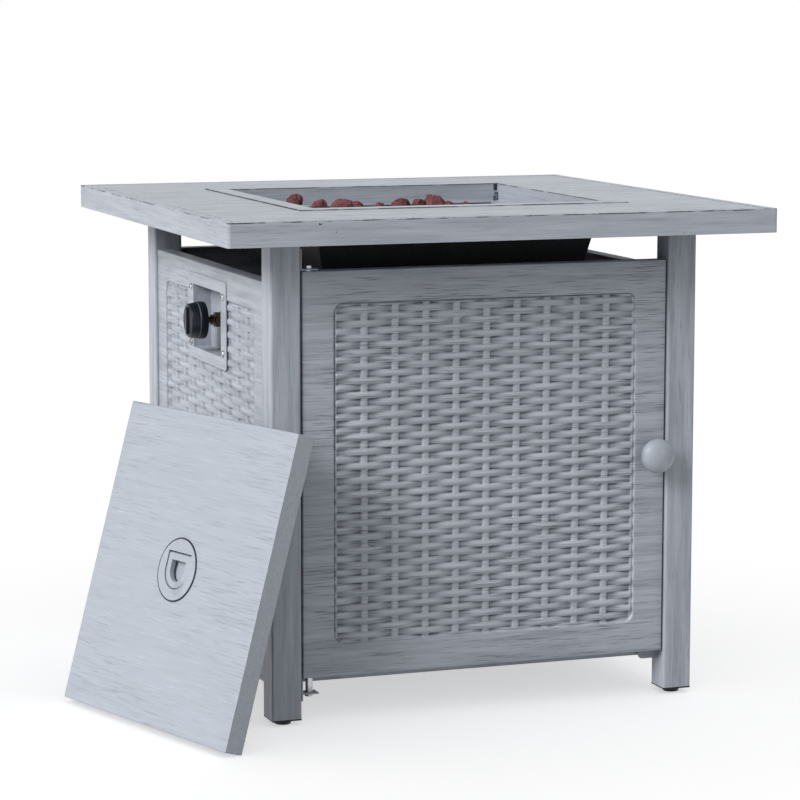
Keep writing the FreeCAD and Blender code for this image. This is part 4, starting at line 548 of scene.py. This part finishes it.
# Grid lines of one strand, and those beside the middle of a stake, in shares of the stakes' pitch.
STRAND_LINES = 7
STAKE_LINES = (0, 0.035, 0.07, 0.1, 0.125, 0.17, 0.23, 0.31, 0.4, 0.5)
# Roundness of a stake, level behind stakes and strands, and share that flattens a strand over a stake.
STAKE_CROWN, WEAVE_BACK, FLATTENING = 1.3, -2.6, 0.12
# How far the highest crests lie behind the border, the step at the field's edge, and the width of the
# strips on the left and at the top where that step is in shade.
CREST_GAP, FIRST_STEP, SHADED_STRIP = 0.3, 2.9, 8
# Thickness of the sheet, depth of the flanges, and how far behind the front the back is closed.
SHEET, FLANGE_DEPTH, CLOSED_AT = 1.2, 20.0, 6.0
# Depth, width and height of the opening for the control plate.
CONTROL_OPENING = (60, 131, 88)


def weave_relief(u, v, sizes):
    """Height of the weave over its middle plane in millimetres, its rubbed crests with their painted
    highlight, and where stakes show.
    """
    strand, stake = sizes.strand_pitch, sizes.stake_pitch
    stake_at = numpy.round(u / stake) * stake
    rod = numpy.clip(1 - ((u - stake_at) / (sizes.stake_width / 2)) ** 2, 0, 1)
    height = numpy.where(rod > 0, sizes.stake_front - STAKE_CROWN + STAKE_CROWN * rod ** 0.35, WEAVE_BACK)
    # Stakes are paler in their middle: rubbed paint with a painted highlight.
    rubbed_crest_highlight = 0.5 * rod ** 0.5
    on_stake = rod > 0
    nearest = numpy.floor(v / strand)
    for step in (-1, 0, 1, 2):
        k = nearest + step
        # Each strand wanders up and down by up to 0.75 mm, in waves 270 and 130 mm long.
        drift = 0.45 * numpy.sin(1.9 * k + u / 43) + 0.3 * numpy.sin(0.83 * k - u / 21 + 1.3)
        offset = (v - k * strand - drift) / (sizes.strand_width / 2)
        section = numpy.clip(1 - offset ** 2, 0, 1)
        wave = numpy.cos(math.pi * (u / stake + STAKES / 2 + k))
        body = (sizes.strand_swing * wave * (1 - FLATTENING * wave ** 2)
                + sizes.strand_crown * numpy.sqrt(section))
        above = (section > 0) & (body > height)
        # Pale on the over-strands and on each strand's upper half: rubbed paint with a painted highlight
        # where the light from above falls.
        rubbed = numpy.clip(1 - ((offset - 0.35) / 0.5) ** 2, 0, 1) * numpy.clip(0.35 + 0.9 * wave, 0, 1)
        rubbed_crest_highlight = numpy.where(above, rubbed, rubbed_crest_highlight)
        height = numpy.where(above, body, height)
        on_stake &= ~above
    return height, rubbed_crest_highlight, on_stake


def press_field(u, v, half_u, half_v, sizes):
    """How far points lie behind the panel's front, the painted shade in their recesses, and the rubbed paint
    and painted highlight on their crests.
    """
    corner = sizes.field_corner
    out_u = numpy.abs(u) - (half_u - corner)
    out_v = numpy.abs(v) - (half_v - corner)
    outside = numpy.hypot(numpy.maximum(out_u, 0), numpy.maximum(out_v, 0))
    inset = corner - outside - numpy.minimum(numpy.maximum(out_u, out_v), 0)
    relief, rubbed, on_stake = weave_relief(u, v + half_v, sizes)
    woven = CREST_GAP + (sizes.strand_swing * (1 - FLATTENING) + sizes.strand_crown) - relief
    step_in = numpy.clip((inset - 0.4) / 3.2, 0, 1)
    step_in = step_in * step_in * (3 - 2 * step_in)
    edge = numpy.clip((inset + 0.35) / 0.9, 0, 1)
    depth = (FIRST_STEP * (1 - step_in) + woven * step_in) * edge
    # Painted shade in the recesses of the weave, weaker on the stakes.
    recess_shade = numpy.clip((woven - CREST_GAP) / 5.0, 0, 1) * edge * numpy.where(on_stake, 0.4, 1.0)
    border = (inset > -0.3) & (inset < 1.6)
    shaded = (u < SHADED_STRIP - half_u) | (v > half_v - SHADED_STRIP)
    # Painted shade on the strips of the border on the left and at the top.
    recess_shade = numpy.where(border & shaded, numpy.maximum(recess_shade, 0.95), recess_shade)
    # Painted highlight on the rest of the border, at the right and at the bottom.
    rubbed_crest_highlight = numpy.where(border & ~shaded, 0.9, rubbed * edge * step_in)
    return depth, recess_shade, rubbed_crest_highlight


def grid_lines(edge, field, steps):
    """Grid positions from one edge of a panel to the other, close together at the border of the field."""
    border = [edge, (edge + field) / 2 + 8, field + 5, field + 1.2, field + 0.3, field - 0.4, field - 1.0]
    inner = [s for s in steps if abs(s) < field - 1.1]
    return numpy.array(sorted([-p for p in border] + inner + border))


def weave_panel(node, sizes):
    """Front sheet of one panel as a dense grid pressed into the weave, with folded flanges behind."""
    body, angle = PANELS[node]
    low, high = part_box(node)
    along = 0 if angle in (0, 180) else 1
    width, height = (high[along] - low[along]) / MM, (high.z - low.z) / MM
    roll = sizes.fold_radius
    half_u, half_v = STAKES * sizes.stake_pitch / 2, STRANDS * sizes.strand_pitch / 2
    across = sorted({round((stake + side * line) * sizes.stake_pitch, 3)
                     for stake in range(-STAKES // 2, STAKES // 2 + 1)
                     for side in (-1, 1) for line in STAKE_LINES})
    upward = [round(k * sizes.strand_pitch / STRAND_LINES - half_v, 3)
              for k in range(STRAND_LINES * STRANDS + 1)]
    us = grid_lines(width / 2 - roll, half_u, across)
    vs = grid_lines(height / 2 - roll, half_v, upward)
    panel = add_shape(bpy.ops.mesh.primitive_grid_add, node + "_woven", x_subdivisions=len(us) - 1,
                      y_subdivisions=len(vs) - 1, size=2)
    u, v = numpy.tile(us, len(vs)), numpy.repeat(vs, len(us))
    depth, recess_shade, rubbed_crest_highlight = press_field(u, v, half_u, half_v, sizes)
    panel.data.vertices.foreach_set("co", (numpy.stack([u, depth, v], axis=1) * MM).ravel())
    # The painted shade of the recesses and the rubbed paint with painted highlights on the crests go to the
    # material as attributes.
    for name, values in (("recess_shade", recess_shade), ("rubbed_crest_highlight", rubbed_crest_highlight)):
        panel.data.attributes.new(name, "FLOAT", "POINT").data.foreach_set("value", values)
    panel.data.update()
    fold_edges(panel, width / 2, height / 2, roll)
    for face in panel.data.polygons:
        face.material_index = 0 if abs(face.normal.y) > 0.3 else 1
    front = (low + high) / 2
    front[1 - along] = (high if angle > 0 else low)[1 - along]
    panel.data.transform(Matrix.Translation(front) @ Matrix.Rotation(math.radians(angle), 4, "Z"))
    # The left panel faces the key lamp, so its weave gets less painted shade and highlight.
    set_materials(panel, "weave with less painted shade" if node == "panel_left" else "weave", "edge")
    if node == "panel_left":
        low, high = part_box("control_plate")
        middle = (low + high) / 2
        cut_away(panel, add_shape(bpy.ops.mesh.primitive_cube_add, "control_opening_cutter", size=1,
                                  location=(low.x + 10 * MM, middle.y, middle.z),
                                  scale=[side * MM for side in CONTROL_OPENING]))
    smooth(panel, 60)
    return finish_piece(panel, body, "grey_paint", node)


def fold_edges(panel, half_u, half_v, roll):
    """Roll the grid's border back, fold the flanges and close the back."""
    rings = [(roll * math.sin(math.radians(a)) - roll, roll * (1 - math.cos(math.radians(a))))
             for a in (30, 60, 90)]
    rings += [(0, FLANGE_DEPTH), (-SHEET, FLANGE_DEPTH), (-SHEET, CLOSED_AT)]
    start_edit(panel, "EDGE", "DESELECT")
    bpy.ops.mesh.select_non_manifold(extend=False, use_wire=False, use_boundary=True, use_multi_face=False,
                                     use_non_contiguous=False, use_verts=False)
    reach = -roll
    for outset, back in rings:
        bpy.ops.mesh.extrude_region_move()
        end_edit()
        for vertex in panel.data.vertices:
            if not vertex.select:
                continue
            x, z = vertex.co.x / MM, vertex.co.z / MM
            if abs(x) > half_u + reach - 0.01:
                x = math.copysign(half_u + outset, x)
            if abs(z) > half_v + reach - 0.01:
                z = math.copysign(half_v + outset, z)
            vertex.co = (x * MM, back * MM, z * MM)
        reach = outset
        start_edit(panel, "EDGE", None)
    bpy.ops.mesh.edge_face_add()
    end_edit(outwards=True)


class FIRETABLE_OT_woven_panels(bpy.types.Operator):
    """Press the four woven panels: the door and the left, right and rear of the cabinet"""
    bl_idname = "fire_table.woven_panels"
    bl_label = "Woven panels"

    def execute(self, context):
        for node in PANELS:
            weave_panel(node, context.scene.fire_table_sizes)
        return {"FINISHED"}


# Tabletop, legs and fittings

# How far from the middle the walls at the opening's two ends begin.
SEAM_FROM = 218.5
FITTINGS = ("hinge_bracket_top", "hinge_bracket_bottom", "door_stop", "tank_tray", "corner_brackets")


class FIRETABLE_OT_tabletop(bpy.types.Operator):
    """Round and paint the tabletop and the frame round its opening, with dark seams at its two ends"""
    bl_idname = "fire_table.tabletop"
    bl_label = "Tabletop"

    def execute(self, context):
        painted("tabletop", flat="top", upright="rim")
        opening = painted("opening_frame", flat="flange", upright="well", rounding=0.8)
        opening.data.materials.append(finishes()["seam"])
        for face in opening.data.polygons:
            if abs(face.normal.x) > 0.9 and abs(face.center.x) > SEAM_FROM * MM:
                face.material_index = 3
        return {"FINISHED"}


class FIRETABLE_OT_legs(bpy.types.Operator):
    """Round and paint the four square-tube legs"""
    bl_idname = "fire_table.legs"
    bl_label = "Legs"

    def execute(self, context):
        for corner in ("front_left", "front_right", "rear_left", "rear_right"):
            painted("leg_" + corner, upright="upright")
        return {"FINISHED"}


class FIRETABLE_OT_fittings(bpy.types.Operator):
    """Round and paint the hinge brackets, the door stop, the tray and the corner brackets"""
    bl_idname = "fire_table.fittings"
    bl_label = "Fittings"

    def execute(self, context):
        for node in FITTINGS:
            painted(node, rounding=0.6)
        return {"FINISHED"}


# Knobs, screws and spring

# The radius, depth and top of a screw's shank.
SHANK_RADIUS, SHANK_DEPTH, SHANK_TOP = 2.3, 7.5, 0.2
# A screw head's radius and height at each ring, and its cross's length, width and depth, all as shares.
DOMED_HEAD = ((1, 0), (1, 0.25), (0.86, 0.65), (0.55, 0.93), (0.2, 1))
FLAT_HEAD = ((1, 0), (1, 0.55), (0.9, 0.9), (0.7, 1))
CROSS_LENGTH, CROSS_WIDTH, CROSS_DEPTH = 1.15, 0.3, 0.9


def turned(name, rings, segments=64):
    """Shape turned about Z from rings of (radius, height), closed at both ends."""
    radius, height = rings[0]
    obj = add_shape(bpy.ops.mesh.primitive_circle_add, name, vertices=segments, radius=radius * MM,
                    fill_type="NGON", location=(0, 0, height * MM))
    start_edit(obj, "FACE")
    for (r0, z0), (r1, z1) in zip(rings, rings[1:]):
        bpy.ops.mesh.extrude_region_move(TRANSFORM_OT_translate={"value": (0, 0, (z1 - z0) * MM)})
        factor = r1 / r0
        bpy.ops.transform.resize(value=(factor, factor, 1), center_override=(0, 0, z1 * MM))
    end_edit(outwards=True)
    return obj


class FIRETABLE_OT_door_knob(bpy.types.Operator):
    """Turn the round knob of the door"""
    bl_idname = "fire_table.door_knob"
    bl_label = "Door knob"

    def execute(self, context):
        low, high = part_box("door_knob")
        radius, length = (high.x - low.x) / 2 / MM, (high.y - low.y) / MM
        half = radius * 0.61
        # Foot and neck, and then the flattened ball.
        rings = [(10.8, 0.05), (10.8, 1.2), (9.2, 2.2), (8.8, length - 2 * half - 1.5)]
        for angle in range(-64, 85, 8):
            turn = math.radians(angle)
            rings.append((radius * math.cos(turn), length - half + half * math.sin(turn)))
        rings.append((0.6, length))
        knob = turned("door_knob_turned", rings)
        place = Matrix.Translation(((low.x + high.x) / 2, high.y, (low.z + high.z) / 2))
        knob.data.transform(place @ Matrix.Rotation(math.radians(90), 4, "X"))
        set_materials(knob, "plain")
        smooth(knob, 40)
        finish_piece(knob, "door", "grey_paint", "door_knob")
        return {"FINISHED"}


class FIRETABLE_OT_gas_knob(bpy.types.Operator):
    """Turn the black gas knob, with its ring line and grip bar"""
    bl_idname = "fire_table.gas_knob"
    bl_label = "Gas knob"

    def execute(self, context):
        low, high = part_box("control_knob")
        radius, length = (high.y - low.y) / 2 / MM, (high.x - low.x) / MM
        centre = (low + high) / 2
        skirt = length * 0.4
        rings = [(radius - 1.6, 0), (radius - 0.4, 0.5), (radius, 1.6), (radius, skirt - 0.6),
                 (radius - 0.5, skirt), (radius - 0.9, skirt + 0.1), (radius - 0.9, skirt + 1.0),
                 (radius - 0.5, skirt + 1.2), (radius - 2.2, length - 4.6), (radius - 3.0, length - 3.4),
                 (radius - 4.6, length - 2.8), (radius - 6.0, length - 3.1), (0.4, length - 3.1)]
        knob = turned("gas_knob_turned", rings, 96)
        set_materials(knob, "plastic", "ring")
        for face in knob.data.polygons:
            if skirt + 0.1 < face.center.z / MM < skirt + 1.0:
                face.material_index = 1
        bar = add_shape(bpy.ops.mesh.primitive_cube_add, "gas_knob_grip", size=1,
                        location=(0, 0, (length - 2.1) * MM),
                        scale=(2 * radius * 0.72 * MM, 6.5 * MM, 4.0 * MM))
        set_materials(bar, "plastic")
        apply_modifier(bar, "BEVEL", width=1.2 * MM, segments=3, limit_method="ANGLE")
        join(knob, bar)
        place = Matrix.Translation((high.x, centre.y, centre.z))
        knob.data.transform(place @ Matrix.Rotation(math.radians(-90), 4, "Y"))
        smooth(knob, 32)
        finish_piece(knob, "control_knob", "black_plastic", "control_knob")
        return {"FINISHED"}


def crossed_head(name, radius, height, profile):
    """One screw head with a cross recess, standing on z = 0."""
    head = turned(name, [(radius * across, height * up) for across, up in profile], 28)
    for angle in (0, 90):
        cut_away(head, add_shape(bpy.ops.mesh.primitive_cube_add, name + "_cutter", size=1,
                                 location=(0, 0, height * MM), rotation=(0, 0, math.radians(angle)),
                                 scale=(radius * CROSS_LENGTH * MM, radius * CROSS_WIDTH * MM,
                                        height * CROSS_DEPTH * MM)))
    return head


def islands(node):
    """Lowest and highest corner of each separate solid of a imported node."""
    mesh = frame["nodes"][node].data
    solids = []
    for face in mesh.polygons:
        corners = [mesh.vertices[i].co for i in face.vertices]
        solid = {tuple(round(c, 5) for c in corner): corner for corner in corners}
        others = []
        for other in solids:
            if other.keys() & solid.keys():
                other.update(solid)
                solid = other
            else:
                others.append(other)
        solids = others + [solid]
    boxes = [[Vector([pick(p[a] for p in solid.values()) for a in range(3)]) for pick in (min, max)]
             for solid in solids]
    return sorted(boxes, key=lambda b: tuple(round(c, 4) for c in b[0]))


class FIRETABLE_OT_plate_and_screws(bpy.types.Operator):
    """Paint the recessed control plate, and put crossed screws in it and on the ledge under the lid"""
    bl_idname = "fire_table.plate_and_screws"
    bl_label = "Control plate and screws"

    def execute(self, context):
        painted("control_plate", flat="plate", upright="plate", rounding=0.9)
        draw = random.Random(3)
        for node, facing, name, tall, profile in (
                ("control_plate_screws", Vector((-1, 0, 0)), "plate", 2.6, DOMED_HEAD),
                ("pan_screws", Vector((0, 0, 1)), "pan", 1.3, FLAT_HEAD)):
            heads = []
            for low, high in islands(node):
                wide = max((high - low)[a] for a in range(3) if abs(facing[a]) < 0.5) / 2 / MM
                head = crossed_head(f"{name}_screw_head_{len(heads)}", wide, tall, profile)
                shank = [(SHANK_RADIUS, -SHANK_DEPTH), (SHANK_RADIUS, SHANK_TOP)]
                join(head, turned(f"{name}_screw_shank_{len(heads)}", shank, 16))
                tip = [high[a] if facing[a] > 0 else low[a] if facing[a] < 0 else (low[a] + high[a]) / 2
                       for a in range(3)]
                turn = facing.to_track_quat("Z", "Y").to_matrix().to_4x4()
                spin = Matrix.Rotation(draw.uniform(0, 1.57), 4, "Z")
                head.data.transform(Matrix.Translation(Vector(tip) - facing * tall * MM) @ turn @ spin)
                heads.append(head)
            join(*heads)
            joined = named(node + "_crossed", heads[0])
            set_materials(joined, "steel")
            smooth(joined)
            finish_piece(joined, "frame", "steel", node)
        return {"FINISHED"}


class FIRETABLE_OT_stem_spring(bpy.types.Operator):
    """Paint and smooth a copy of the coil spring round the valve's stem, which on the table shortens as the
    gas knob is pushed in
    """
    bl_idname = "fire_table.stem_spring"
    bl_label = "Stem spring"

    def execute(self, context):
        spring = copy_of("stem_spring", "stem_spring_coiled")
        set_materials(spring, "steel")
        smooth(spring, 70)
        finish_piece(spring, "frame", "steel", "stem_spring")
        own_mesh(spring)
        return {"FINISHED"}


# Lid

# Handle cup: radius of its pot and of its flange, how far the flange stands over the lid, and its depth.
CUP_RADIUS, CUP_FLANGE, CUP_LIFT, CUP_DEPTH = 35, 38, 1.2, 13
# Ring: its radius, those of its finger hole and of the bore for its pin, and its thickness; how far the pin
# is from the middle, the gap round the ring in its pocket, and the room under it.
RING_RADIUS, RING_HOLE, RING_BORE, RING_THICKNESS = 23, 15, 2.2, 6
RING_PIVOT, RING_GAP, RING_ROOM = 17, 1.5, 4
# Rounding of both, and the place of the dark bead of painted shadow outside and above the flange's foot, and
# its radius.
CAST_EDGE = 0.35
BEAD_OUT, BEAD_UP, BEAD_RADIUS = 0.8, 0.1, 1.2


def d_plate(name, radius, reach, low, high):
    """Plate in the shape of a D: a half disc that runs straight on up to its flat side."""
    plate = add_shape(bpy.ops.mesh.primitive_circle_add, name, vertices=64, radius=radius * MM,
                      fill_type="NGON", location=(0, 0, high * MM))
    start_edit(plate)
    bpy.ops.mesh.bisect(plane_co=(0, 0, high * MM), plane_no=(0, 1, 0), clear_outer=True)
    end_edit()
    edit_edges(plate, lambda first, second: max(abs(first.y), abs(second.y)) < 0.001 * MM)
    bpy.ops.mesh.extrude_region_move(TRANSFORM_OT_translate={"value": (0, reach * MM, 0)})
    bpy.ops.mesh.select_all(action="SELECT")
    bpy.ops.mesh.extrude_region_move(TRANSFORM_OT_translate={"value": (0, 0, (low - high) * MM)})
    end_edit(outwards=True)
    return plate


class FIRETABLE_OT_lid(bpy.types.Operator):
    """Round and paint the lid, and make its handle cup, its ring and the dark bead of painted shadow round
    the cup
    """
    bl_idname = "fire_table.lid"
    bl_label = "Lid"

    def execute(self, context):
        place = lid_matrix()
        painted("lid_panel", flat="lid", upright="lid", edge="fold", rounding=3, body="lid",
                name="lid_painted", up=place.col[2].to_3d())
        self.paint_shadow_bead(place)
        self.finish_casting(self.make_cup(), place, "lid", "handle_cup")
        self.finish_casting(self.make_ring(), place, "lid_handle", "handle_ring")
        return {"FINISHED"}

    def make_cup(self):
        """Pressed cup: a flanged pot with a D-shaped pocket that the ring lies in."""
        cup = turned("handle_cup_pressed", [(CUP_RADIUS, -CUP_DEPTH), (CUP_RADIUS, -0.02), (CUP_FLANGE, 0),
                                            (CUP_FLANGE, CUP_LIFT)], 96)
        cut_away(cup, d_plate("handle_pocket_cutter", RING_RADIUS + RING_GAP,
                              RING_PIVOT + RING_THICKNESS / 2 + RING_GAP,
                              -RING_THICKNESS - RING_ROOM, 2 * CUP_LIFT))
        return cup

    def make_ring(self):
        """Flip-up ring: a flat D with a finger hole, whose straight side is rolled round the pin."""
        reach = RING_PIVOT + RING_THICKNESS / 2
        ring = d_plate("handle_ring_cast", RING_RADIUS, reach, -RING_THICKNESS, 0)
        edit_edges(ring, lambda first, second: min(first.y, second.y) > (reach - 0.01) * MM
                   and abs(first.z - second.z) < 0.01 * MM)
        bpy.ops.mesh.bevel(offset=RING_THICKNESS / 2 * 0.97 * MM, segments=6, affect="EDGES")
        end_edit()
        cut_away(ring, d_plate("handle_hole_cutter", RING_HOLE, RING_PIVOT - RING_THICKNESS,
                               -2 * RING_THICKNESS, RING_THICKNESS))
        cut_away(ring, add_shape(bpy.ops.mesh.primitive_cylinder_add, "handle_bore_cutter", vertices=32,
                                 radius=RING_BORE * MM, depth=3 * RING_RADIUS * MM,
                                 location=(0, RING_PIVOT * MM, -RING_THICKNESS / 2 * MM),
                                 rotation=(0, math.radians(90), 0)))
        return ring

    def finish_casting(self, obj, place, body, node):
        """Put a piece of the handle on the lid, round its edges a little and paint it."""
        obj.data.transform(place)
        set_materials(obj, "plain")
        soften(obj, CAST_EDGE * MM)
        finish_piece(obj, body, "grey_paint", node)

    def paint_shadow_bead(self, place):
        """Thin dark bead round the flange of the handle cup: the painted shadow of the flange's edge."""
        bead = add_shape(bpy.ops.mesh.primitive_torus_add, "handle_cup_shadow_bead",
                         major_radius=(math.hypot(CUP_FLANGE, CUP_LIFT - BEAD_UP) + BEAD_OUT) * MM,
                         minor_radius=BEAD_RADIUS * MM, major_segments=96, minor_segments=10)
        turn = place.col[2].to_3d().to_track_quat("Z", "Y").to_matrix().to_4x4()
        bead.data.transform(Matrix.Translation(place @ Vector((0, 0, BEAD_UP * MM))) @ turn)
        set_materials(bead, "shadow bead")
        smooth(bead, 60)
        finish_piece(bead, "lid", "black_plastic")


# Lava rock

# Half sizes of the bed, greatest height of its stones, and the heap's: where it is, and how high its
# stones have to reach at least and at most.
BED_X, BED_Y, BED_TOP = 168, 156, 604
HEAP_LEFT, HEAP_RIGHT, HEAP_FRONT = -80, 100, 30
HEAP_LOW, HEAP_TOP = 598, 619.5
EXTRA_STONES, TRIES = 46, 6000


class FIRETABLE_OT_lava_rocks(bpy.types.Operator):
    """Roughen the lava stones of the bed and heap more of them on top"""
    bl_idname = "fire_table.lava_rocks"
    bl_label = "Lava rock"

    def execute(self, context):
        rocks = copy_of("lava_rocks", "lava_rocks_rough")
        join(rocks, *self.heap())
        apply_modifier(rocks, "SUBSURF", levels=1, subdivision_type="SIMPLE")
        apply_modifier(rocks, "SUBSURF", levels=1, subdivision_type="CATMULL_CLARK")
        moved = []
        for vertex, normal in zip(rocks.data.vertices, rocks.data.vertex_normals):
            point = vertex.co
            lumps = noise.fractal(point * 70, 0.8, 2.0, 3) * 3.4
            pit = -1.6 if noise.noise(point * 260) > 0.28 else 0.0
            grain = noise.noise(point * 480) * 0.7
            moved.extend(point + normal.vector * (0.6 + lumps + pit + grain) * MM)
        rocks.data.vertices.foreach_set("co", moved)
        rocks.data.update()
        set_materials(rocks, "rock")
        smooth(rocks, 28)
        finish_piece(rocks, "frame", "lava_rock", "lava_rocks")
        return {"FINISHED"}

    def heap(self):
        """More stones, each dropped on to those below it, heaped up towards the right and the back."""
        draw = random.Random(11)
        balls = [((low + high) / 2, max(high - low) / 2) for low, high in islands("lava_rocks")]
        floor = min(centre.z - radius for centre, radius in balls)
        stones = []
        for attempt in range(TRIES):
            if len(stones) == EXTRA_STONES:
                break
            radius = draw.uniform(10, 16) * MM
            x = draw.uniform(-BED_X, BED_X) * MM
            y = draw.uniform(-BED_Y, BED_Y) * MM
            heaped = HEAP_LEFT * MM < x < HEAP_RIGHT * MM and y > HEAP_FRONT * MM
            z = floor + radius
            for centre, size in balls:
                apart = math.hypot(x - centre.x, y - centre.y)
                reach = (size + radius) * 0.96
                if apart < reach:
                    z = max(z, centre.z + math.sqrt(reach ** 2 - apart ** 2))
            top = (z + radius) / MM
            if top > (HEAP_TOP if heaped else BED_TOP) or (heaped and top < HEAP_LOW):
                continue
            balls.append((Vector((x, y, z)), radius))
            turn = [draw.uniform(0, 6.28) for axis in range(3)]
            stones.append(add_shape(bpy.ops.mesh.primitive_ico_sphere_add, f"lava_rock_{len(stones)}",
                                    subdivisions=1, radius=radius * 1.08, location=(x, y, z), rotation=turn))
        return stones


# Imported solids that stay

SLOT_FINISH = {
    "grey_paint": "plain",
    "black_paint": "black",
    "black_plastic": "plastic",
    "brass": "brass",
    "steel": "steel",
    "ceramic": "ceramic",
    "lava_rock": "rock",
}
HEATED = ("burner", "air_mixer", "feed_tube")


class FIRETABLE_OT_packed_solids(bpy.types.Operator):
    """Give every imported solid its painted, plated or moulded finish"""
    bl_idname = "fire_table.packed_solids"
    bl_label = "Packed solids"

    def execute(self, context):
        slots = {part["node"]: part["material_slot"] for part in frame["record"]["subparts"]}
        for node, obj in frame["nodes"].items():
            if not obj.material_slots:
                obj.data.materials.append(None)
            for holder in obj.material_slots:
                holder.material = finishes()["burnt" if node in HEATED else SLOT_FINISH[slots[node]]]
        return {"FINISHED"}


# Stage

# In metres: size of the floor and place of the camera. In degrees: the lamp's spread. In radians: the
# camera's angles.
FLOOR_SIZE = 14
FLOOR_GLOW, SKY_LIGHT = 0.53, 0.5
KEY_LIGHT, KEY_SPREAD, KEY_TOWARDS = 2.95, 28, (0.736, 0.30, -0.5)
CAMERA_PLACE = (-1.35305, -3.70417, 0.89888)
CAMERA_YAW, CAMERA_PITCH, CAMERA_ROLL, LENS = 0.34681, -0.13724, 0.0011, 135.51


def ray_kinds(tree):
    """Whether a ray comes from the camera, from a glossy surface or through glass."""
    return [add_node(tree, "LightPath", output=f"Is {kind} Ray")
            for kind in ("Camera", "Glossy", "Transmission")]


class FIRETABLE_OT_stage(bpy.types.Operator):
    """Set up the floor, the lamps, the white surroundings and the camera"""
    bl_idname = "fire_table.stage"
    bl_label = "Stage"

    def execute(self, context):
        scene = context.scene
        scene.view_settings.view_transform = "Standard"
        self.make_lamp(self.make_floor())
        self.make_world(scene)
        self.make_camera(scene)
        return {"FINISHED"}

    def make_floor(self):
        """White floor with a faint mottle, and the collection that leaves it out by the key lamp."""
        floor = add_shape(bpy.ops.mesh.primitive_plane_add, "floor", size=FLOOR_SIZE)
        unlit = bpy.data.collections.new("left out by the key lamp")
        unlit.objects.link(floor)
        unlit.collection_objects[0].light_linking.link_state = "EXCLUDE"
        material, tree, where = new_material("White studio floor")
        mottle = add_node(tree, "TexNoise", {"Scale": 3.0, "Vector": where})
        tone = add_node(tree, "Mix", {0: mottle, 6: colour("FBFBFB"), 7: colour("FFFFFF")}, **COLOURS)
        matt = add_node(tree, "BsdfDiffuse", {"Color": tone})
        camera, glossy, clear = ray_kinds(tree)
        mirrored = combine(tree, "MAXIMUM", glossy, clear)
        level = add_node(tree, "Math", {0: camera, 1: FLOOR_GLOW, 2: mirrored}, operation="MULTIPLY_ADD")
        glow = add_node(tree, "Emission", {"Color": (1, 1, 1, 1), "Strength": level})
        add_node(tree, "OutputMaterial", {"Surface": add_node(tree, "AddShader", {0: matt, 1: glow})})
        floor.data.materials.append(material)
        return unlit

    def make_world(self, scene):
        """White surroundings that light the table at half the level at which they are seen."""
        world = bpy.data.worlds.new("White studio")
        world.use_nodes = True
        tree = world.node_tree
        tree.nodes.clear()
        seen = combine(tree, "MAXIMUM", *ray_kinds(tree))
        strength = add_node(tree, "MapRange", {0: seen, 3: SKY_LIGHT})
        sky = add_node(tree, "Background", {"Color": (1, 1, 1, 1), "Strength": strength})
        add_node(tree, "OutputWorld", {"Surface": sky})
        scene.world = world

    def make_lamp(self, unlit):
        """Broad key lamp from the upper left, which leaves the floor out."""
        bpy.ops.object.select_all(action="DESELECT")
        bpy.ops.object.light_add(type="SUN", location=(-3, -1, 4))
        key = bpy.context.active_object
        key.name = "key_lamp"
        key.data.energy = KEY_LIGHT
        key.data.angle = math.radians(KEY_SPREAD)
        key.data.color = (1.0, 0.99, 0.985)
        key.light_linking.receiver_collection = unlit
        key.rotation_euler = Vector(KEY_TOWARDS).to_track_quat("-Z", "Y").to_euler()

    def make_camera(self, scene):
        """Camera where the photograph was taken from."""
        data = bpy.data.cameras.new("photo_camera")
        camera = bpy.data.objects.new("photo_camera", data)
        scene.collection.objects.link(camera)
        data.sensor_width = 36
        data.lens = LENS
        data.clip_start, data.clip_end = 0.05, 60
        camera.location = CAMERA_PLACE
        level = math.cos(CAMERA_PITCH)
        ahead = Vector((math.sin(CAMERA_YAW) * level, math.cos(CAMERA_YAW) * level, math.sin(CAMERA_PITCH)))
        roll = Quaternion((0, 0, 1), CAMERA_ROLL)
        camera.rotation_euler = (ahead.to_track_quat("-Z", "Y") @ roll).to_euler()
        scene.camera = camera


class FIRETABLE_PT_sidebar(bpy.types.Panel):
    """Lists the pieces and their sizes and colours"""
    bl_idname = "FIRETABLE_PT_sidebar"
    bl_label = "Fire table"
    bl_space_type = "VIEW_3D"
    bl_region_type = "UI"
    bl_category = "Fire table"

    def draw(self, context):
        column = self.layout.column(align=True)
        for step in STEPS:
            column.operator(step.bl_idname)
        for group in (context.scene.fire_table_sizes, context.scene.fire_table_colours):
            box = self.layout.box()
            for name in group.__annotations__:
                box.prop(group, name)


# The operators, in the order that they run in.
STEPS = (
    FIRETABLE_OT_stage,
    FIRETABLE_OT_packed_solids,
    FIRETABLE_OT_woven_panels,
    FIRETABLE_OT_tabletop,
    FIRETABLE_OT_legs,
    FIRETABLE_OT_fittings,
    FIRETABLE_OT_door_knob,
    FIRETABLE_OT_gas_knob,
    FIRETABLE_OT_plate_and_screws,
    FIRETABLE_OT_stem_spring,
    FIRETABLE_OT_lid,
    FIRETABLE_OT_lava_rocks,
)
CLASSES = (FireTableSizes, FireTableColours, *STEPS, FIRETABLE_PT_sidebar)


def register():
    for entry in CLASSES:
        bpy.utils.register_class(entry)
    bpy.types.Scene.fire_table_sizes = bpy.props.PointerProperty(type=FireTableSizes)
    bpy.types.Scene.fire_table_colours = bpy.props.PointerProperty(type=FireTableColours)


def unregister():
    del bpy.types.Scene.fire_table_colours
    del bpy.types.Scene.fire_table_sizes
    for entry in reversed(CLASSES):
        bpy.utils.unregister_class(entry)


def main():
    register()
    for step in STEPS:
        getattr(bpy.ops.fire_table, step.bl_idname.split(".")[1])()


if __name__ == "__main__":
    main()
